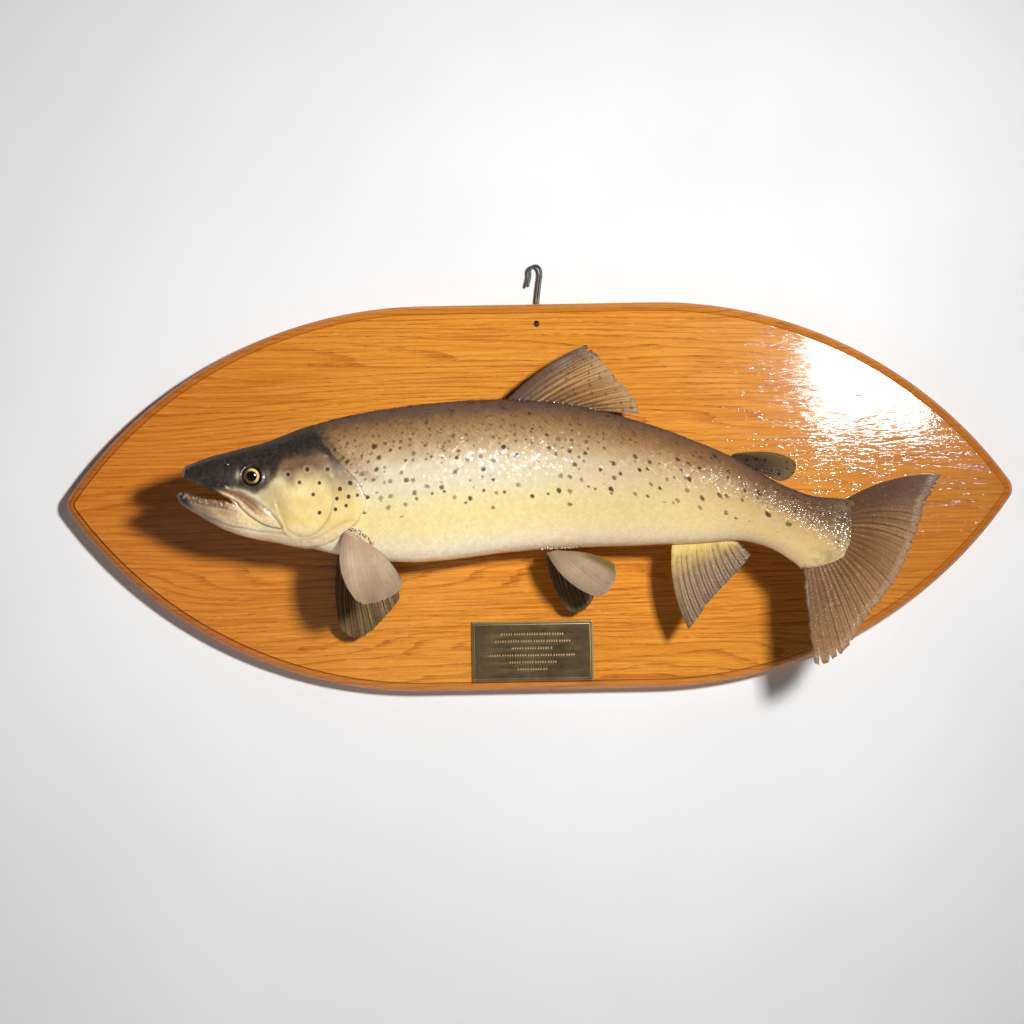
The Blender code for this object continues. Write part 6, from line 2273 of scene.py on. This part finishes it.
def all_fins() -> list[RayFin]:
    """Return the fins, in order from the back to the belly."""
    dorsal = RayFin(
        "dorsal_rays", "dorsal_fin", ridge_line((-30, 5, 35, 63), 0.0, True),
        ((49, 26, 150), (60, 26, 140), (70, 27, 128), (79, 28, 115), (90, 31, 103), (98, 34, 90),
         (99, 36, 79)),
        FinMembrane("dorsal_paint", (92, 62, 38), (128, 84, 44), (146, 106, 68), (206, 168, 106),
                    spot=0.5, ray_strength=0.65, groove=0.35, lead=0.85, frost_and_glint=0.35, glint=0.35),
        rays=13, bow=0.4, edge_bow=(-4.6, 0.0), ridge=0.35, rows=64, smooth_lead=0.12,
        nicks=((0.075, 0.012, 0.07), (0.33, 0.012, 0.06), (0.52, 0.015, 0.05), (0.72, 0.015, 0.09)), seed=2)
    adipose = RayFin(
        "adipose_lobe", "adipose_fin", ridge_line((186, 198, 209), 0.4, True),
        ((190, 67, 38.5), (205, 67, 39.5), (222, 68, 39), (236, 69, 36), (246, 70, 30), (248, 71, 22),
         (242, 72, 14), (233, 73, 10.5), (224, 73, 13.5)),
        FinMembrane("adipose_paint", (64, 46, 38), (56, 42, 32), (102, 80, 46), (110, 84, 58),
                    spot=0.85, ray_strength=0.0, groove=0.0, glint=0.6, specular=0.04, coat=0.0),
        rays=0, thickness=0.8, rim_thickness=0.5, plump=1.5, scallop=0.0, ripple=0.1, cells_per_ray=12,
        seed=3)
    anal = RayFin(
        "anal_rays", "anal_fin", ridge_line((128, 160, 190), 0.0, False),
        ((143, 54, -133), (151, 55, -123), (160, 56, -110), (174, 58, -94), (193, 61, -74), (204, 64, -60)),
        FinMembrane("anal_paint", (232, 198, 112), (146, 114, 80), (92, 66, 54), (190, 166, 134),
                    ray_strength=0.6, groove=0.7, glint=0.9),
        rays=13, bow=1.0, edge_bow=(6.5, 0.0), ridge=0.35, rows=64, scallop=0.008,
        nicks=((0.30, 0.015, 0.03),), seed=4)
    tail = RayFin(
        "tail_rays", "caudal_fin", stem_line(),
        ((383, 113, 14), (368, 113, -12), (356, 113, -45), (336, 112, -88), (308, 110, -122),
         (286, 109, -154), (263, 107, -167), (256, 106, -159)),
        FinMembrane("tail_paint", (108, 72, 42), (106, 70, 40), (138, 100, 66), (178, 134, 80),
                    spot=0.2, ray_strength=0.5, groove=0.9, lead=0.85, frost_and_glint=0.6, glint=0.7),
        rays=26, bow=2.0, edge_bow=(-8.0, 1.0), sink=9.0, thickness=1.2, ridge=0.32, ripple=0.9,
        cells_per_ray=10, rows=80, scallop=0.016, smooth_lead=0.2, fray=0.011, seed=5,
        nicks=((0.07, 0.006, 0.03), (0.13, 0.008, 0.035), (0.29, 0.007, 0.03), (0.44, 0.006, 0.03),
               (0.57, 0.008, 0.035), (0.70, 0.008, 0.04), (0.79, 0.008, 0.05), (0.865, 0.007, 0.08),
               (0.90, 0.010, 0.06), (0.945, 0.008, 0.12)))
    near = FinMembrane("near_fin_paint", (168, 138, 108), (190, 162, 134), (164, 138, 110), (206, 182, 154),
                       ray_strength=0.12, groove=0.22, lead=0.35, glint=0.3, specular=0.12,
                       coat=0.03)
    paddle = FinMembrane("near_pelvic_paint", (150, 122, 94), (180, 154, 126), (156, 130, 104),
                         (196, 172, 144), ray_strength=0.1, groove=0.2, lead=0.4, glint=0.3,
                         strip=(132, 108, 62), specular=0.2)
    far = FinMembrane("far_fin_paint", (110, 80, 44), (92, 66, 40), (70, 50, 34), (160, 134, 82),
                      ray_strength=0.75, groove=0.7, glint=0.3)
    pectoral_left = RayFin(
        "near_pectoral_rays", "pectoral_fin_left", ((-189, 94.5, -31), (-176, 92, -38), (-164, 90, -44)),
        ((-185, 103, -87), (-177, 106, -97.5), (-168, 109, -101), (-155, 112, -98), (-140, 114, -91),
         (-134, 113, -84), (-134, 111, -77)),
        near, rays=12, bow=-4.0, edge_bow=(7.0, -3.0), ridge=0.2, ripple=1.2, scallop=0.012, seed=6)
    pectoral_right = RayFin(
        "far_pectoral_rays", "pectoral_fin_right", ((-194, 30, -33), (-184, 27, -37), (-174, 25, -42)),
        ((-201, 20, -122), (-197, 19, -131), (-185, 19, -137.5), (-172, 18, -133), (-155, 17, -117),
         (-142, 17, -101), (-141, 17, -92)),
        far, rays=13, bow=1.0, edge_bow=(6.0, -5.0), scallop=0.01, seed=7)
    pelvic_left = RayFin(
        "near_pelvic_rays", "pelvic_fin_left", ((6, 46, -56), (18, 47, -55.2), (32, 48, -54.6)),
        ((40, 68, -93), (48, 70, -97), (56, 72, -98), (66, 74, -92), (72, 74, -80), (71, 72, -67)),
        paddle, rays=10, bow=2.0, edge_bow=(4.0, -3.0), ridge=0.2, ripple=1.3, scallop=0.012, seed=8)
    pelvic_right = RayFin(
        "far_pelvic_rays", "pelvic_fin_right", ((5, 30, -56), (17, 29, -55.6), (31, 28, -55)),
        ((20, 22, -105), (26, 21, -113), (35, 20, -116), (43, 20, -113), (50, 20, -105), (55, 20, -93)),
        far, rays=10, bow=1.0, edge_bow=(2.5, -5.0), scallop=0.01, seed=9)
    return [dorsal, adipose, anal, tail, pectoral_left, pectoral_right, pelvic_left, pelvic_right]


# ---------------------------------------------------------------- studio
@dataclass(frozen=True)
class Lamp:
    """A soft rectangular lamp that looks at a point."""

    name: str
    place: Place
    target: Place
    size: tuple[float, float]
    power: float
    spread: float = 180.0

    def build(self) -> None:
        """Add the lamp to the scene."""
        light = bpy.data.lights.new(self.name, "AREA")
        light.shape = "RECTANGLE"
        light.size, light.size_y = self.size
        light.energy = self.power
        light.spread = math.radians(self.spread)
        obj = add_object(self.name, light)
        obj.location = self.place
        obj.rotation_euler = (Vector(self.target) - Vector(self.place)).to_track_quat("-Z", "Y").to_euler()


@dataclass(frozen=True)
class Plaster(Finish):
    """A plain pale wall or floor, which is clear from behind."""

    name: str = "pale_plaster"
    shade: Colour = (237, 237, 237)

    def paint(self, bench: NodeBench, shader: bpy.types.Node) -> None:
        """Lay out the finish's nodes round its shader."""
        place = bench.place()
        mottle = bench.noise(place, 260, 3, 0.5)
        light = srgb(*self.shade)
        colour = bench.blend(bench.fade(mottle, 0.3, 0.7), light, tuple(c * 0.96 for c in light))
        set_shader(bench, shader, Base_Color=colour, Roughness=bench.fade(mottle, 0.3, 0.7, 0.75, 0.85),
                   Normal=bench.bump(bench.noise(place, 5, 3, 0.55), 0.15, 0.3))
        clear = bench.add("BsdfTransparent")
        behind = bench.add("NewGeometry").outputs["Backfacing"]
        shadow = bench.add("LightPath").outputs["Is Shadow Ray"]
        blend = bench.add("MixShader", {0: bench.math("MAXIMUM", behind, shadow)})
        bench.tree.links.new(shader.outputs[0], blend.inputs[1])
        bench.tree.links.new(clear.outputs[0], blend.inputs[2])
        sink = next(n for n in bench.tree.nodes if n.bl_idname == "ShaderNodeOutputMaterial")
        bench.tree.links.new(blend.outputs[0], sink.inputs[0])


@dataclass(frozen=True)
class Studio:
    """The pale wall and floor, the lamps and the camera."""

    wall_gap: float = 0.006
    floor_z: float = -0.95
    span: float = 9.0
    camera_place: Place = (-0.02777, -2.32, -0.0147)
    camera_tilt: float = -1.03
    lens: float = 80.86
    sensor_width: float = 36.0
    clip: tuple[float, float] = (0.05, 50.0)
    sky_colour: tuple[float, ...] = (0.98, 0.99, 1.0, 1.0)
    sky_strength: float = 0.035

    def wall(self) -> None:
        """Add the wall that the board hangs on, and the floor under it."""
        for name, matrix in (
                ("wall", Matrix.Translation((0, self.wall_gap, self.floor_z + self.span / 2))
                 @ Matrix.Rotation(math.pi / 2, 4, "X")),
                ("floor", Matrix.Translation((0, self.wall_gap - self.span / 2, self.floor_z)))):
            bm = bmesh.new()
            bmesh.ops.create_grid(bm, x_segments=4, y_segments=4, size=self.span / 2, matrix=matrix)
            mesh = bpy.data.meshes.new(name)
            bm.to_mesh(mesh)
            bm.free()
            obj = add_object(name, mesh)
            mesh.materials.append(Plaster("pale_" + name).material())

    def lamps(self) -> None:
        """Add the lamps and the sky's even light."""
        Lamp("key", (0.622, -1.50, 0.335), (-0.45, 0.0, 0.0), (0.20, 0.19), 15.2, 120.0).build()
        Lamp("fill", (-0.9, -2.4, -0.7), (0.0, 0.0, 0.0), (1.8, 1.4), 1.5).build()
        Lamp("back", (0.9, 2.6, 0.15), (0.0, 0.0, 0.0), (1.6, 1.6), 36.0).build()
        world = bpy.data.worlds.new("studio")
        world.use_nodes = True
        sky = world.node_tree.nodes["Background"]
        sky.inputs["Color"].default_value = self.sky_colour
        sky.inputs["Strength"].default_value = self.sky_strength
        bpy.context.scene.world = world

    def camera(self) -> None:
        """Add the camera."""
        data = bpy.data.cameras.new("camera")
        data.sensor_width = self.sensor_width
        data.lens = self.lens
        data.clip_start, data.clip_end = self.clip
        obj = add_object("camera", data)
        obj.matrix_world = (Matrix.Translation(self.camera_place) @ Matrix.Rotation(math.pi / 2, 4, "X")
                            @ Matrix.Rotation(math.radians(self.camera_tilt), 4, "Z"))
        bpy.context.scene.camera = obj

    def build(self) -> None:
        """Build the studio."""
        bpy.context.scene.view_settings.view_transform = "Standard"
        self.wall()
        self.lamps()
        self.camera()


# ---------------------------------------------------------------- the whole
def plain(box: Sequence[Vector]) -> list[list[float]]:
    """Return a box's corners as plain lists of numbers."""
    return [[float(c) for c in corner] for corner in box]


def clear_scene() -> None:
    """Remove what a new file holds."""
    for obj in list(bpy.data.objects):
        bpy.data.objects.remove(obj)


def main() -> None:
    """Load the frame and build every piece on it."""
    logging.basicConfig(level=logging.INFO, format="%(message)s")
    clear_scene()
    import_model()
    Studio().build()
    OakBoard().build()
    NamePlate().build()
    HangingWire().build()
    FixingScrews().build()
    FishSkin().build()
    for side in Side:
        for label, first, last in (("fore", -400.0, -20.0), ("aft", -20.0, 400.0)):
            ScaleCoat(side, first, last, f"scales_{side.name.lower()}_{label}").build()
    GlassEye(Side.LEFT, "eye_left").build()
    GlassEye(Side.RIGHT, "eye_right").build()
    JawTeeth().build()
    ResinBeadsAndGlints().build()
    for fin in all_fins():
        fin.build()


if __name__ == "__main__":
    main()
